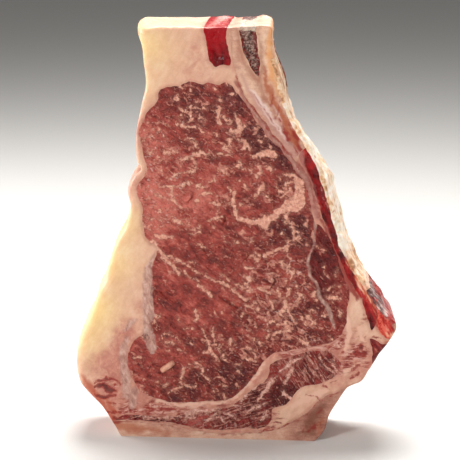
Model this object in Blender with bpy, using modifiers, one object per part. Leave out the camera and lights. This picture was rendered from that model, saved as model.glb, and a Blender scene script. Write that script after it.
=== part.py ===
"""Club steak: a raw, bone-in loin steak standing on its sawn edge.

Blender 4.5, metres, +Z up. The cut face looks along -Y and the steak stands on z = 0.
Outlines are written in millimetres as (x, z), measured on the cut face from a mark a little
left of the steak's middle. Every tissue is a solid that runs through the whole thickness.
"""
import math

import bmesh
import bpy
from mathutils import Vector, noise

MM = 0.001

# Driving dimensions.
THICKNESS = 40 * MM          # between the two cut faces
MIDDLE_X = 6.7 * MM          # the middle of the width, in the outlines' own measure
MIDDLE_Y = -0.55 * MM        # the middle of the depth, as the loose strip stands proud
GAP = 0.3 * MM               # kept between tissues that touch
CELL = 5.2 * MM              # facet size on the cut faces
BEYOND = 9                   # mm, how far an outline runs past the steak's skin
WELD = 0.01 * MM             # points nearer than this are one
MITRE = 0.6                  # sharpest corner that is moved outwards in full, as a cosine

# The steak's edge: x, z, rounding of the cut corner, swelling halfway through (mm).
EDGE = [
    (-48.5, 0, 0.0, 0.0), (-45, 0, 0.0, 0.0), (42, 0, 0.0, 0.0), (46, 0, 0.0, 0.0),
    (50.7, 5, 0.8, 0.5), (52.5, 11, 0.8, 0.8), (55, 16.5, 0.8, 0.8), (58.5, 22.5, 0.8, 0.8),
    (62, 27.3, 1.2, 0.8), (68.5, 30.5, 1.5, 1.0), (72, 36, 1.6, 1.2), (77, 44, 1.6, 1.2),
    (81, 50, 1.6, 1.0), (85, 56.5, 1.2, 0.6), (84.6, 60.3, 1.0, 0.4), (81, 64, 1.0, 0.6),
    (77.3, 68.3, 1.0, 0.8), (74, 73, 1.2, 0.8), (70, 79.6, 1.2, 0.8), (65, 87.5, 1.2, 0.8),
    (61.2, 94, 1.2, 0.8), (58.7, 101, 1.2, 0.8), (56.2, 110, 1.3, 0.9), (53.5, 119, 1.4, 1.2),
    (50.5, 129.5, 1.5, 1.5), (47.2, 137.5, 1.4, 1.2), (44, 144, 1.2, 0.8), (39.7, 151, 1.2, 0.6),
    (35, 158.5, 1.4, 0.8), (31.4, 167, 1.6, 1.2), (28.5, 178, 1.8, 1.0), (26.3, 187, 1.6, 0.8),
    (25, 195, 1.4, 0.8), (24.2, 202.6, 0.8, 0.3),
    (14, 202.6, 0.8, 0.4), (4, 202.2, 0.8, 0.3), (-8, 202, 1.0, 0.6), (-24, 201.7, 1.2, 1.2),
    (-34, 201.6, 1.5, 1.6), (-37.4, 200, 2.0, 3.6),
    (-36.6, 191, 2.4, 2.2), (-35.3, 180, 2.4, 2.0), (-35.3, 172, 2.2, 1.8),
    (-37.7, 162, 1.6, 1.6), (-39.8, 152.5, 0.9, 1.2), (-40.3, 145.5, 1.3, 1.2),
    (-39.9, 137, 1.4, 1.2), (-38.2, 133.2, 1.2, -1.8), (-40.5, 130.6, 1.8, 1.4),
    (-43.9, 122.5, 2.2, 1.8), (-42.9, 114.5, 1.8, 1.6), (-45.2, 105.5, 2.0, 1.8),
    (-50.3, 95.5, 2.6, 2.0), (-54.6, 80, 3.0, 2.4), (-58, 73.3, 3.0, 2.4),
    (-60.6, 65, 3.0, 2.4), (-64.6, 56.3, 3.0, 2.6), (-68.2, 46, 3.4, 2.6),
    (-70.2, 35.5, 3.2, 2.2), (-68.6, 27.2, 2.6, 1.8), (-63.5, 20.6, 1.8, 1.4),
    (-57.6, 14, 1.4, 1.0), (-52, 5.7, 1.0, 0.6),
]

# How far the rib side leans in towards the back face: z, mm.
LEAN = [(77, 0), (84, 2), (92, 1), (110, 0), (126, 0.5), (138, 4), (148, 5.5), (156, 5),
        (166, 3), (176, 1.5), (188, 4), (204, 3)]
LEAN_FROM, LEAN_TO = 4, 22   # mm, the lean grows from nothing to all of it over this x

EYE = [
    (-28, 172), (-19, 174), (-14, 176.4), (-9, 174.8), (-4.6, 175.8), (-1, 174.8), (3, 176),
    (9.7, 169.5), (16.8, 158.5), (25.4, 146.8), (29.7, 143.3), (36.5, 133.7), (40.1, 129),
    (42.8, 121), (45.4, 110), (46.4, 103), (45, 97.5), (43, 92), (43, 85), (47, 76), (51.5, 68),
    (54.5, 59), (56, 51.5),
    (48, 48.5), (36, 46), (26, 43.4), (21, 38.8), (16.6, 32), (10.3, 25), (4, 20), (-10, 19),
    (-24, 17.8), (-30.5, 20), (-36, 21.3), (-42, 28.2), (-45, 34), (-45, 41.5), (-42, 48),
    (-36, 54), (-32.2, 63), (-33.3, 71), (-33.2, 86), (-30, 94.2), (-34.3, 98.4), (-36.8, 104),
    (-37.5, 115), (-40.2, 123), (-35.3, 133), (-36.5, 139), (-37.6, 146), (-38.6, 151.6),
    (-35.8, 159), (-30, 167),
]
SHELL_MUSCLE = [
    (46.6, 108), (48.5, 107), (52, 102.4), (56.4, 93), (59.6, 82.4), (62.8, 74.5), (61.3, 68),
    (61.3, 62), (60, 55.6), (56.5, 52), (50, 52), (46, 66), (40, 85), (43, 100),
]
CAP_STRIP = [
    (-7.6, 202 + BEYOND), (-7.2, 201), (-6, 193), (-5.2, 187.5), (-1.8, 183.2), (0.5, 184.8),
    (5, 184.4), (4.2, 191), (3.3, 198), (3.6, 202 + BEYOND),
]
RIB = [
    (4.6, 203 + BEYOND), (4.6, 202), (5.4, 192), (7.4, 182.5), (9.7, 174.5), (13.5, 167),
    (21, 157.6), (28.8, 147.5), (34.2, 141), (36.8, 138.2), (40, 145), (52, 150),
    (25 + BEYOND, 186), (25 + BEYOND, 203 + BEYOND),
]
MARROW = [
    (9, 203 + BEYOND), (9.2, 201), (11, 191.5), (13, 186.8), (18.6, 179.6), (19, 185),
    (18, 193), (17.3, 201), (17.3, 203 + BEYOND),
]
INTERCOSTAL = [
    (38.2, 141), (42.8, 131), (46, 121.5), (49, 111.5), (54.5, 99), (58.4, 89.5), (63, 80.5),
    (68.5, 71.5), (71, 64), (73.7, 56.3), (75.7, 60), (75.6, 65), (73, 71.5), (68, 78.6),
    (80, 90), (64, 117), (58, 140), (44, 149), (41, 146),
]
CORNER_MUSCLE = [
    (68.8, 78.2), (73.6, 71.8), (76.2, 65), (76.2, 59), (77.5, 55.5), (82, 52.5), (90, 54),
    (88, 64), (74, 84),
]
EDGE_MUSCLE = [
    (73, 52.4), (75.5, 51.4), (78, 49.8), (84, 50), (86, 46), (78, 38), (75, 38.5), (73.7, 42),
    (74, 46.5), (72.7, 49.5),
]
LOWER_MUSCLE = [
    (-50.2, 9.6), (-46, 10.8), (-30, 10.2), (-22, 11.2), (-13, 14.6), (-2, 15), (5.4, 16.6),
    (14.7, 24.5), (20.5, 28.8), (23.6, 33), (25.4, 38.6), (34, 42), (44, 45.6), (52, 45.6),
    (58.6, 40.2), (57.4, 35.2), (52, 30), (39.6, 27), (36.6, 23.5), (32, 18), (26.4, 15.6),
    (24.8, 10), (22, 6.6), (6, 5.2), (-9, 4.6), (-20, 6.8), (-36, 8), (-47, 8.6),
]
FEATHER_BONE = [
    (-60, -BEYOND), (-60, 7.4), (-53, 7.9), (-44, 7.9), (-34, 7.2), (-22, 6), (-14, 3.8),
    (-6, 3), (12, 3.1), (24.5, 4.8), (33.3, 7.9), (41, 13), (46.5, 18.2), (52.2, 23),
    (57.5, 25.6), (62.2, 27.4), (67, 26), (75, 20), (75, -BEYOND),
]

# Thin layers on the rib side, as stretches of the edge: lowest z, highest z, thickness (mm).
RIB_SIDE_FAT = (79, 188, 2.0)
CORNER_MEMBRANE = (60, 77, 1.5)
REAR_MEMBRANE = (168, 194, 1.5)
REAR_START = 3 * MM          # the rear membrane reaches from here to the back face

CHIP = ((-28.6, 33.4), (-22.4, 38), 1.35, 0.4)   # the loose strip's ends, radius, height (mm)

# Tissue surfaces: height over the cut face, depth of the bumps, size of the bumps (mm).
LEAN_SURFACE = (0.0, 0.55, 9)
FAT_SURFACE = (0.35, 0.3, 16)
BONE_SURFACE = (0.15, 0.2, 12)
MARROW_SURFACE = (-0.5, 0.5, 5)

LEAN_RED = (0.30, 0.065, 0.062)
FAT_CREAM = (0.78, 0.56, 0.40)
BONE_BEIGE = (0.66, 0.42, 0.32)
BLOOD_RED = (0.36, 0.015, 0.02)
SIDE_CREAM = (0.88, 0.72, 0.50)
MARROW_BROWN = (0.16, 0.09, 0.08)
MEMBRANE_GREY = (0.35, 0.26, 0.27)


def clear_scene():
    """Start from an empty scene."""
    for obj in list(bpy.data.objects):
        bpy.data.objects.remove(obj, do_unlink=True)


def new_collection(name):
    """A collection under the scene's own."""
    made = bpy.data.collections.new(name)
    bpy.context.scene.collection.children.link(made)
    return made


def material(name, colour, roughness):
    """A plain Principled material."""
    mat = bpy.data.materials.new(name)
    mat.use_nodes = True
    shader = mat.node_tree.nodes["Principled BSDF"]
    shader.inputs["Base Color"].default_value = (*colour, 1)
    shader.inputs["Roughness"].default_value = roughness
    shader.inputs["Metallic"].default_value = 0
    mat.diffuse_color = (*colour, 1)
    return mat


def from_table(rows, at):
    """Straight-line reading of a table of (position, value) rows."""
    for (low, first), (high, second) in zip(rows, rows[1:]):
        if at <= high:
            share = max(0.0, (at - low) / (high - low))
            return first + (second - first) * share
    return rows[-1][1]


def lean_in(x, y, z):
    """How far a spot of the rib side moves in, in metres."""
    share = min(1.0, max(0.0, (x - LEAN_FROM) / (LEAN_TO - LEAN_FROM)))
    return -from_table(LEAN, z) * MM * share * (y + THICKNESS / 2) / THICKNESS


def smooth_loop(rows, steps):
    """A closed smooth curve through every row, with so many points to each span."""
    rows = [Vector(row) for row in rows]
    count = len(rows)
    spans = [(rows[(i + 1) % count].xy - rows[i].xy).length for i in range(count)]
    slopes = [(rows[(i + 1) % count] - rows[i - 1]) / (spans[i - 1] + spans[i])
              for i in range(count)]
    made = []
    for i in range(count):
        start, end = rows[i], rows[(i + 1) % count]
        leaving, arriving = slopes[i] * spans[i], slopes[(i + 1) % count] * spans[i]
        for step in range(steps):
            t = step / steps
            blend = t * t * (3 - 2 * t)
            made.append(start * (1 - blend) + end * blend
                        + leaving * t * (1 - t) ** 2 - arriving * t * t * (1 - t))
    return made


def normals(points):
    """The way outwards at each point of a loop, longer at corners, so both sides move alike."""
    count = len(points)
    turn = sum(points[i - 1][0] * points[i][1] - points[i][0] * points[i - 1][1]
               for i in range(count))
    side = 1 if turn > 0 else -1
    made = []
    for i in range(count):
        behind, here, ahead = (Vector(points[(i + k) % count][:2]) for k in (-1, 0, 1))
        coming, going = (here - behind).normalized(), (ahead - here).normalized()
        along = (coming + going).normalized()
        made.append(Vector((along.y, -along.x)) * side / max(MITRE, along.dot(going)))
    return made


def grown(points, distance):
    """The loop moved outwards by a distance."""
    return [(p[0] + n.x * distance, p[1] + n.y * distance)
            for p, n in zip(points, normals(points))]


def edge_strip(lowest, highest, thickness):
    """The outline of a thin layer along a stretch of the rib side."""
    rows = [row[:2] for row in smooth_loop(EDGE, 2)]
    stretch = [i for i, (x, z) in enumerate(rows) if x > 20 and lowest <= z <= highest]
    inner = grown(rows, -thickness)
    outer = grown(rows, BEYOND)
    return [inner[i] for i in stretch] + [outer[i] for i in reversed(stretch)]


def link_mesh(name, mesh, collection):
    """An object for a mesh, in its collection."""
    obj = bpy.data.objects.new(name, mesh)
    collection.objects.link(obj)
    return obj


def prism(name, grow=0.0):
    """A closed solid that carries a tissue's outline straight through the steak."""
    outline, steps, front = OUTLINES[name]
    points = smooth_loop(outline, steps)
    if grow:
        points = grown(points, grow / MM)
    curve = bpy.data.curves.new(name, "CURVE")
    curve.dimensions = "2D"
    curve.fill_mode = "BOTH"
    curve.extrude = THICKNESS
    spline = curve.splines.new("POLY")
    spline.points.add(len(points) - 1)
    for spot, (x, z) in zip(spline.points, points):
        spot.co = (x * MM, z * MM, 0, 1)
    spline.use_cyclic_u = True
    drawn = bpy.data.objects.new(name, curve)
    cutters.objects.link(drawn)
    drawn.rotation_euler.x = math.pi / 2
    drawn.location.y = front + THICKNESS - grow if front is not None else 0.0
    bpy.context.view_layer.update()
    evaluated = drawn.evaluated_get(bpy.context.evaluated_depsgraph_get())
    data = bpy.data.meshes.new_from_object(evaluated)
    data.transform(drawn.matrix_world)
    bpy.data.objects.remove(drawn, do_unlink=True)
    mesh = bmesh.new()
    mesh.from_mesh(data)
    bmesh.ops.remove_doubles(mesh, verts=mesh.verts, dist=WELD)
    bmesh.ops.recalc_face_normals(mesh, faces=mesh.faces)
    if name in RIB_SIDE_LAYERS:
        walls = [face for face in mesh.faces if abs(face.normal.y) < 0.5]
        bmesh.ops.triangulate(mesh, faces=walls, quad_method="FIXED")
        for vert in mesh.verts:
            vert.co.x += lean_in(vert.co.x / MM, vert.co.y, vert.co.z / MM)
    mesh.to_mesh(data)
    mesh.free()
    return link_mesh(name, data, cutters)


def body(collection):
    """The whole steak's skin: one loft from cut face to cut face and a little beyond.

    Its sections lie closer together where the cut corners are rounded.
    """
    rows = smooth_loop(EDGE, 2)
    outward = normals(rows)
    half = THICKNESS / MM / 2
    back_half = [half / 3, half - 2.6, half - 0.8, half, half + BEYOND / 3]
    depths = [-depth for depth in reversed(back_half)] + back_half
    mesh = bmesh.new()
    rings = []
    for depth in depths:
        reach = min(abs(depth), half)
        ring = []
        for (x, z, corner, swell), normal in zip(rows, outward):
            inside = max(0.0, reach - (half - corner)) / max(corner, 0.05)
            drawn_in = 1 - math.sqrt(1 - min(inside, 1.0) ** 2)
            offset = swell * (1 - (reach / half) ** 2) - corner * drawn_in
            height = max(0.0, z + normal.y * offset) if z > 0 else 0.0
            across = (x + normal.x * offset) * MM + lean_in(x, depth * MM, z)
            ring.append(mesh.verts.new((across, depth * MM, height * MM)))
        rings.append(ring)
    for one, two in zip(rings, rings[1:]):
        for i in range(len(one)):
            mesh.faces.new((one[i - 1], one[i], two[i], two[i - 1]))
    mesh.faces.new(rings[0])
    mesh.faces.new(rings[-1])
    bmesh.ops.recalc_face_normals(mesh, faces=mesh.faces)
    data = bpy.data.meshes.new("body")
    mesh.to_mesh(data)
    mesh.free()
    return link_mesh("body", data, collection)


def slab(name, surface):
    """The steak's thickness with the bumps of one tissue on both cut faces."""
    height, depth, size = surface
    outline = OUTLINES[name][0]
    low = [min(p[k] for p in outline) * MM - CELL for k in (0, 1)]
    high = [max(p[k] for p in outline) * MM + CELL for k in (0, 1)]
    cells = [math.ceil((b - a) / CELL) for a, b in zip(low, high)]
    mesh = bmesh.new()
    bmesh.ops.create_grid(mesh, x_segments=cells[0], y_segments=cells[1], size=0.5)
    for vert in mesh.verts:
        x = low[0] + (vert.co.x + 0.5) * cells[0] * CELL
        z = low[1] + (vert.co.y + 0.5) * cells[1] * CELL
        vert.co = (x, 0, z)
    data = bpy.data.meshes.new(name)
    mesh.to_mesh(data)
    mesh.free()
    obj = link_mesh(name + "_surface", data, cutters)
    thick = obj.modifiers.new("thickness", "SOLIDIFY")
    thick.thickness = THICKNESS
    thick.offset = 0
    apply_modifiers(obj)
    for vert in obj.data.vertices:
        side = 1 if vert.co.y > 0 else -1
        spot = Vector((vert.co.x, side * THICKNESS, vert.co.z)) / (size * MM)
        bumps = noise.noise(spot) + 0.5 * noise.noise(spot * 2.1)
        vert.co.y += side * (height + depth * bumps) * MM
    return obj


def apply_modifiers(obj):
    """Turn what an object's modifiers show into its own mesh."""
    bpy.context.view_layer.update()
    evaluated = obj.evaluated_get(bpy.context.evaluated_depsgraph_get())
    made = bpy.data.meshes.new_from_object(evaluated)
    obj.modifiers.clear()
    old = obj.data
    obj.data = made
    bpy.data.meshes.remove(old)


def cut(obj, cutter, operation):
    """One Boolean, applied. EXACT drops some of these cuts, so MANIFOLD makes them all."""
    boolean = obj.modifiers.new(operation.lower(), "BOOLEAN")
    boolean.operation = operation
    boolean.solver = "MANIFOLD"
    boolean.object = cutter
    apply_modifiers(obj)


def keep_largest(obj):
    """Drop loose scraps that a cut leaves beside the piece."""
    mesh = bmesh.new()
    mesh.from_mesh(obj.data)
    left = set(mesh.verts)
    pieces = []
    while left:
        piece = {left.pop()}
        edge = list(piece)
        while edge:
            for link in edge.pop().link_edges:
                for vert in link.verts:
                    if vert in left:
                        left.discard(vert)
                        piece.add(vert)
                        edge.append(vert)
        pieces.append(piece)
    pieces.sort(key=len)
    for piece in pieces[:-1]:
        bmesh.ops.delete(mesh, geom=list(piece), context="VERTS")
    mesh.to_mesh(obj.data)
    mesh.free()


def settle(obj):
    """Centre the steak on the origin, in width and in depth."""
    for vert in obj.data.vertices:
        vert.co.x -= MIDDLE_X
        vert.co.y -= MIDDLE_Y
    obj.data.update()


def tissue(name, surface, mat, neighbours):
    """One tissue: its prism, cut to the steak's skin, its own surface and its neighbours."""
    obj = prism(name)
    relief = slab(name, surface)
    cut(obj, skin, "INTERSECT")
    cut(obj, relief, "INTERSECT")
    bpy.data.objects.remove(relief, do_unlink=True)
    for neighbour in neighbours:
        other = prism(neighbour, GAP)
        cut(obj, other, "DIFFERENCE")
        bpy.data.objects.remove(other, do_unlink=True)
    cutters.objects.unlink(obj)
    steak.objects.link(obj)
    obj.data.materials.clear()
    obj.data.materials.append(mat)
    return obj


def fat_chip(obj):
    """A loose strip of fat that lies on the eye muscle, fused to it."""
    start, end, radius, height = CHIP
    along = Vector((end[0] - start[0], 0, end[1] - start[1]))
    middle = Vector((start[0] + end[0], 0, start[1] + end[1])) / 2
    mesh = bmesh.new()
    bmesh.ops.create_uvsphere(mesh, u_segments=8, v_segments=6, radius=radius * MM)
    for vert in mesh.verts:
        if abs(vert.co.z) > WELD:
            vert.co.z += math.copysign(along.length / 2 * MM, vert.co.z)
    turn = Vector((0, 0, 1)).rotation_difference(along.normalized())
    place = Vector((middle.x * MM, -THICKNESS / 2 - height * MM, middle.z * MM))
    for vert in mesh.verts:
        vert.co = turn @ vert.co + place
    data = bpy.data.meshes.new("chip")
    mesh.to_mesh(data)
    mesh.free()
    chip = link_mesh("chip", data, cutters)
    cut(obj, chip, "UNION")
    bpy.data.objects.remove(chip, do_unlink=True)


# Every tissue's outline, points to each span, and where it starts if it isn't right through.
OUTLINES = {
    "eye_muscle": (EYE, 1, None),
    "shell_muscle": (SHELL_MUSCLE, 2, None),
    "cap_strip_muscle": (CAP_STRIP, 2, None),
    "rib_bone": (RIB, 2, None),
    "rib_marrow": (MARROW, 2, None),
    "intercostal_muscle": (INTERCOSTAL, 2, None),
    "rib_side_fat": (edge_strip(*RIB_SIDE_FAT), 1, None),
    "corner_membrane": (edge_strip(*CORNER_MEMBRANE), 1, None),
    "rear_membrane": (edge_strip(*REAR_MEMBRANE), 1, REAR_START),
    "corner_muscle": (CORNER_MUSCLE, 2, None),
    "edge_muscle": (EDGE_MUSCLE, 2, None),
    "lower_muscle": (LOWER_MUSCLE, 2, None),
    "feather_bone": (FEATHER_BONE, 2, None),
    "fat": ([(-80, -BEYOND), (95, -BEYOND), (95, 215), (-80, 215)], 1, None),
}
RIB_SIDE_LAYERS = ("rib_side_fat", "corner_membrane", "rear_membrane")

clear_scene()
steak = new_collection("club_steak")
cutters = new_collection("cutters")
skin = body(cutters)

lean = material("lean", LEAN_RED, 0.45)
blood = material("blood_red_lean", BLOOD_RED, 0.4)
fat = material("fat", FAT_CREAM, 0.5)
side_fat = material("side_fat", SIDE_CREAM, 0.5)
bone = material("bone", BONE_BEIGE, 0.55)
marrow = material("marrow", MARROW_BROWN, 0.7)
membrane = material("membrane", MEMBRANE_GREY, 0.35)

eye_muscle = tissue("eye_muscle", LEAN_SURFACE, lean, [])
fat_chip(eye_muscle)
tissue("shell_muscle", LEAN_SURFACE, lean, ["eye_muscle"])
tissue("lower_muscle", LEAN_SURFACE, lean, ["feather_bone"])
tissue("cap_strip_muscle", LEAN_SURFACE, blood, [])
tissue("rib_marrow", MARROW_SURFACE, marrow, [])
tissue("rear_membrane", BONE_SURFACE, membrane, [])
tissue("rib_side_fat", FAT_SURFACE, side_fat, ["rear_membrane"])
tissue("rib_bone", BONE_SURFACE, bone, ["rib_marrow", "rib_side_fat", "rear_membrane"])
tissue("corner_membrane", BONE_SURFACE, membrane, [])
tissue("intercostal_muscle", LEAN_SURFACE, blood, ["rib_bone", "rib_side_fat", "corner_membrane"])
tissue("corner_muscle", LEAN_SURFACE, blood, ["intercostal_muscle", "corner_membrane", "rib_side_fat"])
tissue("edge_muscle", LEAN_SURFACE, lean, [])
tissue("feather_bone", BONE_SURFACE, bone, [])
tissue("fat", FAT_SURFACE, fat, [name for name in OUTLINES if name not in ("fat", "rib_marrow")])

for piece in steak.objects:
    keep_largest(piece)
    settle(piece)
for cutter in cutters.objects:
    cutter.hide_render = True
    cutter.display_type = "WIRE"
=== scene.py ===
import math

import bpy
import numpy as np
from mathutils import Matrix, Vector, geometry, kdtree, noise


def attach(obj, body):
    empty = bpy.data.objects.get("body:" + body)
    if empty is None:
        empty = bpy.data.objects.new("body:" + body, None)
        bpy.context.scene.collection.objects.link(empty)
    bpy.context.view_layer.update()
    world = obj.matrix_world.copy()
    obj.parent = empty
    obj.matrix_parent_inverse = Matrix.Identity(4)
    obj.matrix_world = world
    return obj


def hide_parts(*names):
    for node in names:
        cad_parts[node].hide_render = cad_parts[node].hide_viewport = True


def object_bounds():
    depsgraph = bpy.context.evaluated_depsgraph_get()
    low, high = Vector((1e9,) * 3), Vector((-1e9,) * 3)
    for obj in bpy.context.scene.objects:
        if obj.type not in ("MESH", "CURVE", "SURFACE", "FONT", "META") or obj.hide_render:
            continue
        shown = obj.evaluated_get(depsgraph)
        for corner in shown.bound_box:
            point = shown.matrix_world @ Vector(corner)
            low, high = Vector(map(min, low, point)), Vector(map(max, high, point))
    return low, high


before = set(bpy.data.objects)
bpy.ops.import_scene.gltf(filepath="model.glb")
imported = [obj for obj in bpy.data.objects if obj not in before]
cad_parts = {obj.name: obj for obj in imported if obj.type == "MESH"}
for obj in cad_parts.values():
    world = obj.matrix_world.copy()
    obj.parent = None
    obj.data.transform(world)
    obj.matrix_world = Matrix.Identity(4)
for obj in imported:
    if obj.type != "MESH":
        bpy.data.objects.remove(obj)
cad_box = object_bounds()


# ---------------------------------------------------------------------------------------------
# The eye muscle, in the slice that all the tissues share: knifed through fat and muscle, sawn
# through bone, with two cut faces and one rounded skin. The eye is the big round muscle, cut
# across its fibres: moist red lean with fine flecks of fat and thicker seams between bundles.
# ---------------------------------------------------------------------------------------------
MM = 0.001
THICKNESS = 40
HALF = THICKNESS / 2
MIDDLE_X, MIDDLE_Y = 6.7, -0.55      # the middle of the steak, in the outlines' own measure
SPACING = 0.65                       # between the points of a cut face
SKIN_ROWS = 36                       # rows of faces through the thickness, on the outer skin
BEYOND = 9                           # how far an outline runs past the skin
SWELL_REACH = 9                      # how far in from the skin its swelling is felt
RELIEF_REACH = 1.6                   # how far in from its border a tissue's relief is whole
ON_SKIN = 0.002                      # points this near to the skin's line lie on it
SMOOTH_ANGLE = math.radians(50)      # edges flatter than this are shaded smooth

# The steak's edge: x, z, rounding of the cut corner, swelling halfway through.
EDGE = [
    (-48.5, 0, 0.0, 0.0), (-45, 0, 0.0, 0.0), (42, 0, 0.0, 0.0), (46, 0, 0.0, 0.0),
    (50.7, 5, 0.8, 0.5), (52.5, 11, 0.8, 0.8), (55, 16.5, 0.8, 0.8), (58.5, 22.5, 0.8, 0.8),
    (62, 27.3, 1.2, 0.8), (68.5, 30.5, 1.5, 1.0), (72, 36, 1.6, 1.2), (77, 44, 1.6, 1.2),
    (81, 50, 1.6, 1.0), (85, 56.5, 1.2, 0.6), (84.6, 60.3, 1.0, 0.4), (81, 64, 1.0, 0.6),
    (77.3, 68.3, 1.0, 0.8), (74, 73, 1.2, 0.8), (70, 79.6, 1.2, 0.8), (65, 87.5, 1.2, 0.8),
    (61.2, 94, 1.2, 0.8), (58.7, 101, 1.2, 0.8), (56.2, 110, 1.3, 0.9), (53.5, 119, 1.4, 1.2),
    (50.5, 129.5, 1.5, 1.5), (47.2, 137.5, 1.4, 1.2), (44, 144, 1.2, 0.8), (39.7, 151, 1.2, 0.6),
    (35, 158.5, 1.4, 0.8), (31.4, 167, 1.6, 1.2), (28.5, 178, 1.8, 1.0), (26.3, 187, 1.6, 0.8),
    (25, 195, 1.4, 0.8), (24.2, 202.6, 0.8, 0.3),
    (14, 202.6, 0.8, 0.4), (4, 202.2, 0.8, 0.3), (-8, 202, 1.0, 0.6), (-24, 201.7, 1.2, 1.2),
    (-34, 201.6, 1.5, 1.6), (-37.4, 200, 2.0, 3.6),
    (-36.6, 191, 2.4, 2.2), (-35.3, 180, 2.4, 2.0), (-35.3, 172, 2.2, 1.8),
    (-37.7, 162, 1.6, 1.6), (-39.8, 152.5, 0.9, 1.2), (-40.3, 145.5, 1.3, 1.2),
    (-39.9, 137, 1.4, 1.2), (-38.2, 133.2, 1.2, -1.8), (-40.5, 130.6, 1.8, 1.4),
    (-43.9, 122.5, 2.2, 1.8), (-42.9, 114.5, 1.8, 1.6), (-45.2, 105.5, 2.0, 1.8),
    (-50.3, 95.5, 2.6, 2.0), (-54.6, 80, 3.0, 2.4), (-58, 73.3, 3.0, 2.4),
    (-60.6, 65, 3.0, 2.4), (-64.6, 56.3, 3.0, 2.6), (-68.2, 46, 3.4, 2.6),
    (-70.2, 35.5, 3.2, 2.2), (-68.6, 27.2, 2.6, 1.8), (-63.5, 20.6, 1.8, 1.4),
    (-57.6, 14, 1.4, 1.0), (-52, 5.7, 1.0, 0.6),
]

# How far the rib side leans in towards the back face: z, mm.
LEAN = [(48, 0), (54, 2.8), (58, 4.2), (64, 3), (69, 1.4), (74, 2.6), (79, 2.8), (84, 2.2),
        (92, 1), (110, 0), (126, 0.5), (138, 4), (148, 5.5), (156, 5), (166, 3), (176, 1.5),
        (188, 4), (204, 3)]
LEAN_FROM, LEAN_TO = 4, 22           # the lean grows from nothing to all of it over this x


def smooth_loop(rows):
    """A closed smooth curve through every row, with points about so far apart."""
    rows = np.array(rows, float)
    after = np.roll(rows, -1, 0)
    spans = np.linalg.norm((after - rows)[:, :2], axis=1)[:, None]
    slopes = (after - np.roll(rows, 1, 0)) / (spans + np.roll(spans, 1, 0))
    made = []
    for i in range(len(rows)):
        steps = max(1, round(spans[i, 0] / SPACING))
        t = np.arange(steps)[:, None] / steps
        blend = t * t * (3 - 2 * t)
        leaving, arriving = slopes[i] * spans[i], slopes[(i + 1) % len(rows)] * spans[i]
        made.append(rows[i] * (1 - blend) + after[i] * blend
                    + leaving * t * (1 - t) ** 2 - arriving * t * t * (1 - t))
    return np.concatenate(made)


def outward(loop):
    """The way out at each point of a loop that runs anticlockwise."""
    along = np.roll(loop, -1, 0)[:, :2] - np.roll(loop, 1, 0)[:, :2]
    along /= np.linalg.norm(along, axis=1)[:, None]
    return np.stack([along[:, 1], -along[:, 0]], 1)


def fade(values, low, high):
    """A soft step from 0 at low to 1 at high."""
    share = np.clip((values - low) / (high - low), 0, 1)
    return share * share * (3 - 2 * share)


def bumps(points, size, seed):
    """Smooth noise from about -1 to 1 at each point, with bumps of that size."""
    flat = np.zeros((len(points), 3))
    flat[:, :points.shape[1]] = points
    return np.array([noise.noise(p) for p in (flat / size + seed).tolist()])


def measured(points, loop):
    """Each point's distance to a closed line, and where on it the nearest spot lies."""
    tree = kdtree.KDTree(len(loop))
    for i, (x, z) in enumerate(loop[:, :2].tolist()):
        tree.insert((x, z, 0), i)
    tree.balance()
    near = np.array([tree.find((x, z, 0))[1] for x, z in points.tolist()], int)
    distance = np.full(len(points), np.inf)
    place = np.zeros(len(points))
    for start in (near - 1, near):
        a, b = loop[start % len(loop), :2], loop[(start + 1) % len(loop), :2]
        along = b - a
        share = np.clip(((points - a) * along).sum(1) / (along * along).sum(1), 0, 1)
        here = np.linalg.norm(points - a - along * share[:, None], axis=1)
        nearer = here < distance
        distance = np.where(nearer, here, distance)
        place = np.where(nearer, start + share, place)
    return distance, place % len(loop)


def along_loop(values, place):
    """Values that belong to a loop's points, read between them."""
    low = np.floor(place).astype(int)
    share = place - low
    if values.ndim > 1:
        share = share[:, None]
    return values[low % len(values)] * (1 - share) + values[(low + 1) % len(values)] * share


def inside(points, loop):
    """Which points lie inside a closed line."""
    found = np.zeros(len(points), bool)
    low, high = loop[:, :2].min(0), loop[:, :2].max(0)
    maybe = np.where(((points > low) & (points < high)).all(1))[0]
    x, z = points[maybe, 0], points[maybe, 1]
    odd = np.zeros(len(maybe), bool)
    for (ax, az), (bx, bz) in zip(loop[:, :2].tolist(), np.roll(loop, -1, 0)[:, :2].tolist()):
        if az != bz:
            odd ^= ((az > z) != (bz > z)) & (x < (bx - ax) * (z - az) / (bz - az) + ax)
    found[maybe] = odd
    return found


SKIN = smooth_loop(EDGE)
SKIN[:, 1] = np.maximum(SKIN[:, 1], 0)
SKIN_OUT = outward(SKIN)
RIM_TURNS = [math.radians(turn) for turn in (14, 30, 46, 62, 78, 90)]
RIM_POINTS = np.concatenate([SKIN[:, :2] - SKIN_OUT * SKIN[:, 2:3] * (1 - math.cos(turn))
                             for turn in RIM_TURNS])
LATTICE_LEFT, LATTICE_WIDE, LATTICE_TALL = -75, 165, 206
ROW_RISE = math.sqrt(0.75)           # between the rows of a lattice of even triangles
LATTICE = np.array([(LATTICE_LEFT + (i + 0.5 * (j % 2)) * SPACING, j * SPACING * ROW_RISE)
                    for j in range(int(LATTICE_TALL / SPACING / ROW_RISE))
                    for i in range(int(LATTICE_WIDE / SPACING))])
RIM_CLEARANCE = 0.03                 # between the rim's own points and the skin


def ragged(loop):
    """A border moved about a little, as no two tissues part along a clean line."""
    moved = loop[:, :2].copy()
    for size, reach in ((6.0, 0.8), (1.9, 0.42)):
        for axis, seed in ((0, 3.1), (1, 17.7)):
            moved[:, axis] += bumps(loop[:, :2], size, seed) * reach
    return moved


def border(rows):
    """The border of a tissue, from its rough outline."""
    return ragged(smooth_loop(rows))


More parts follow.
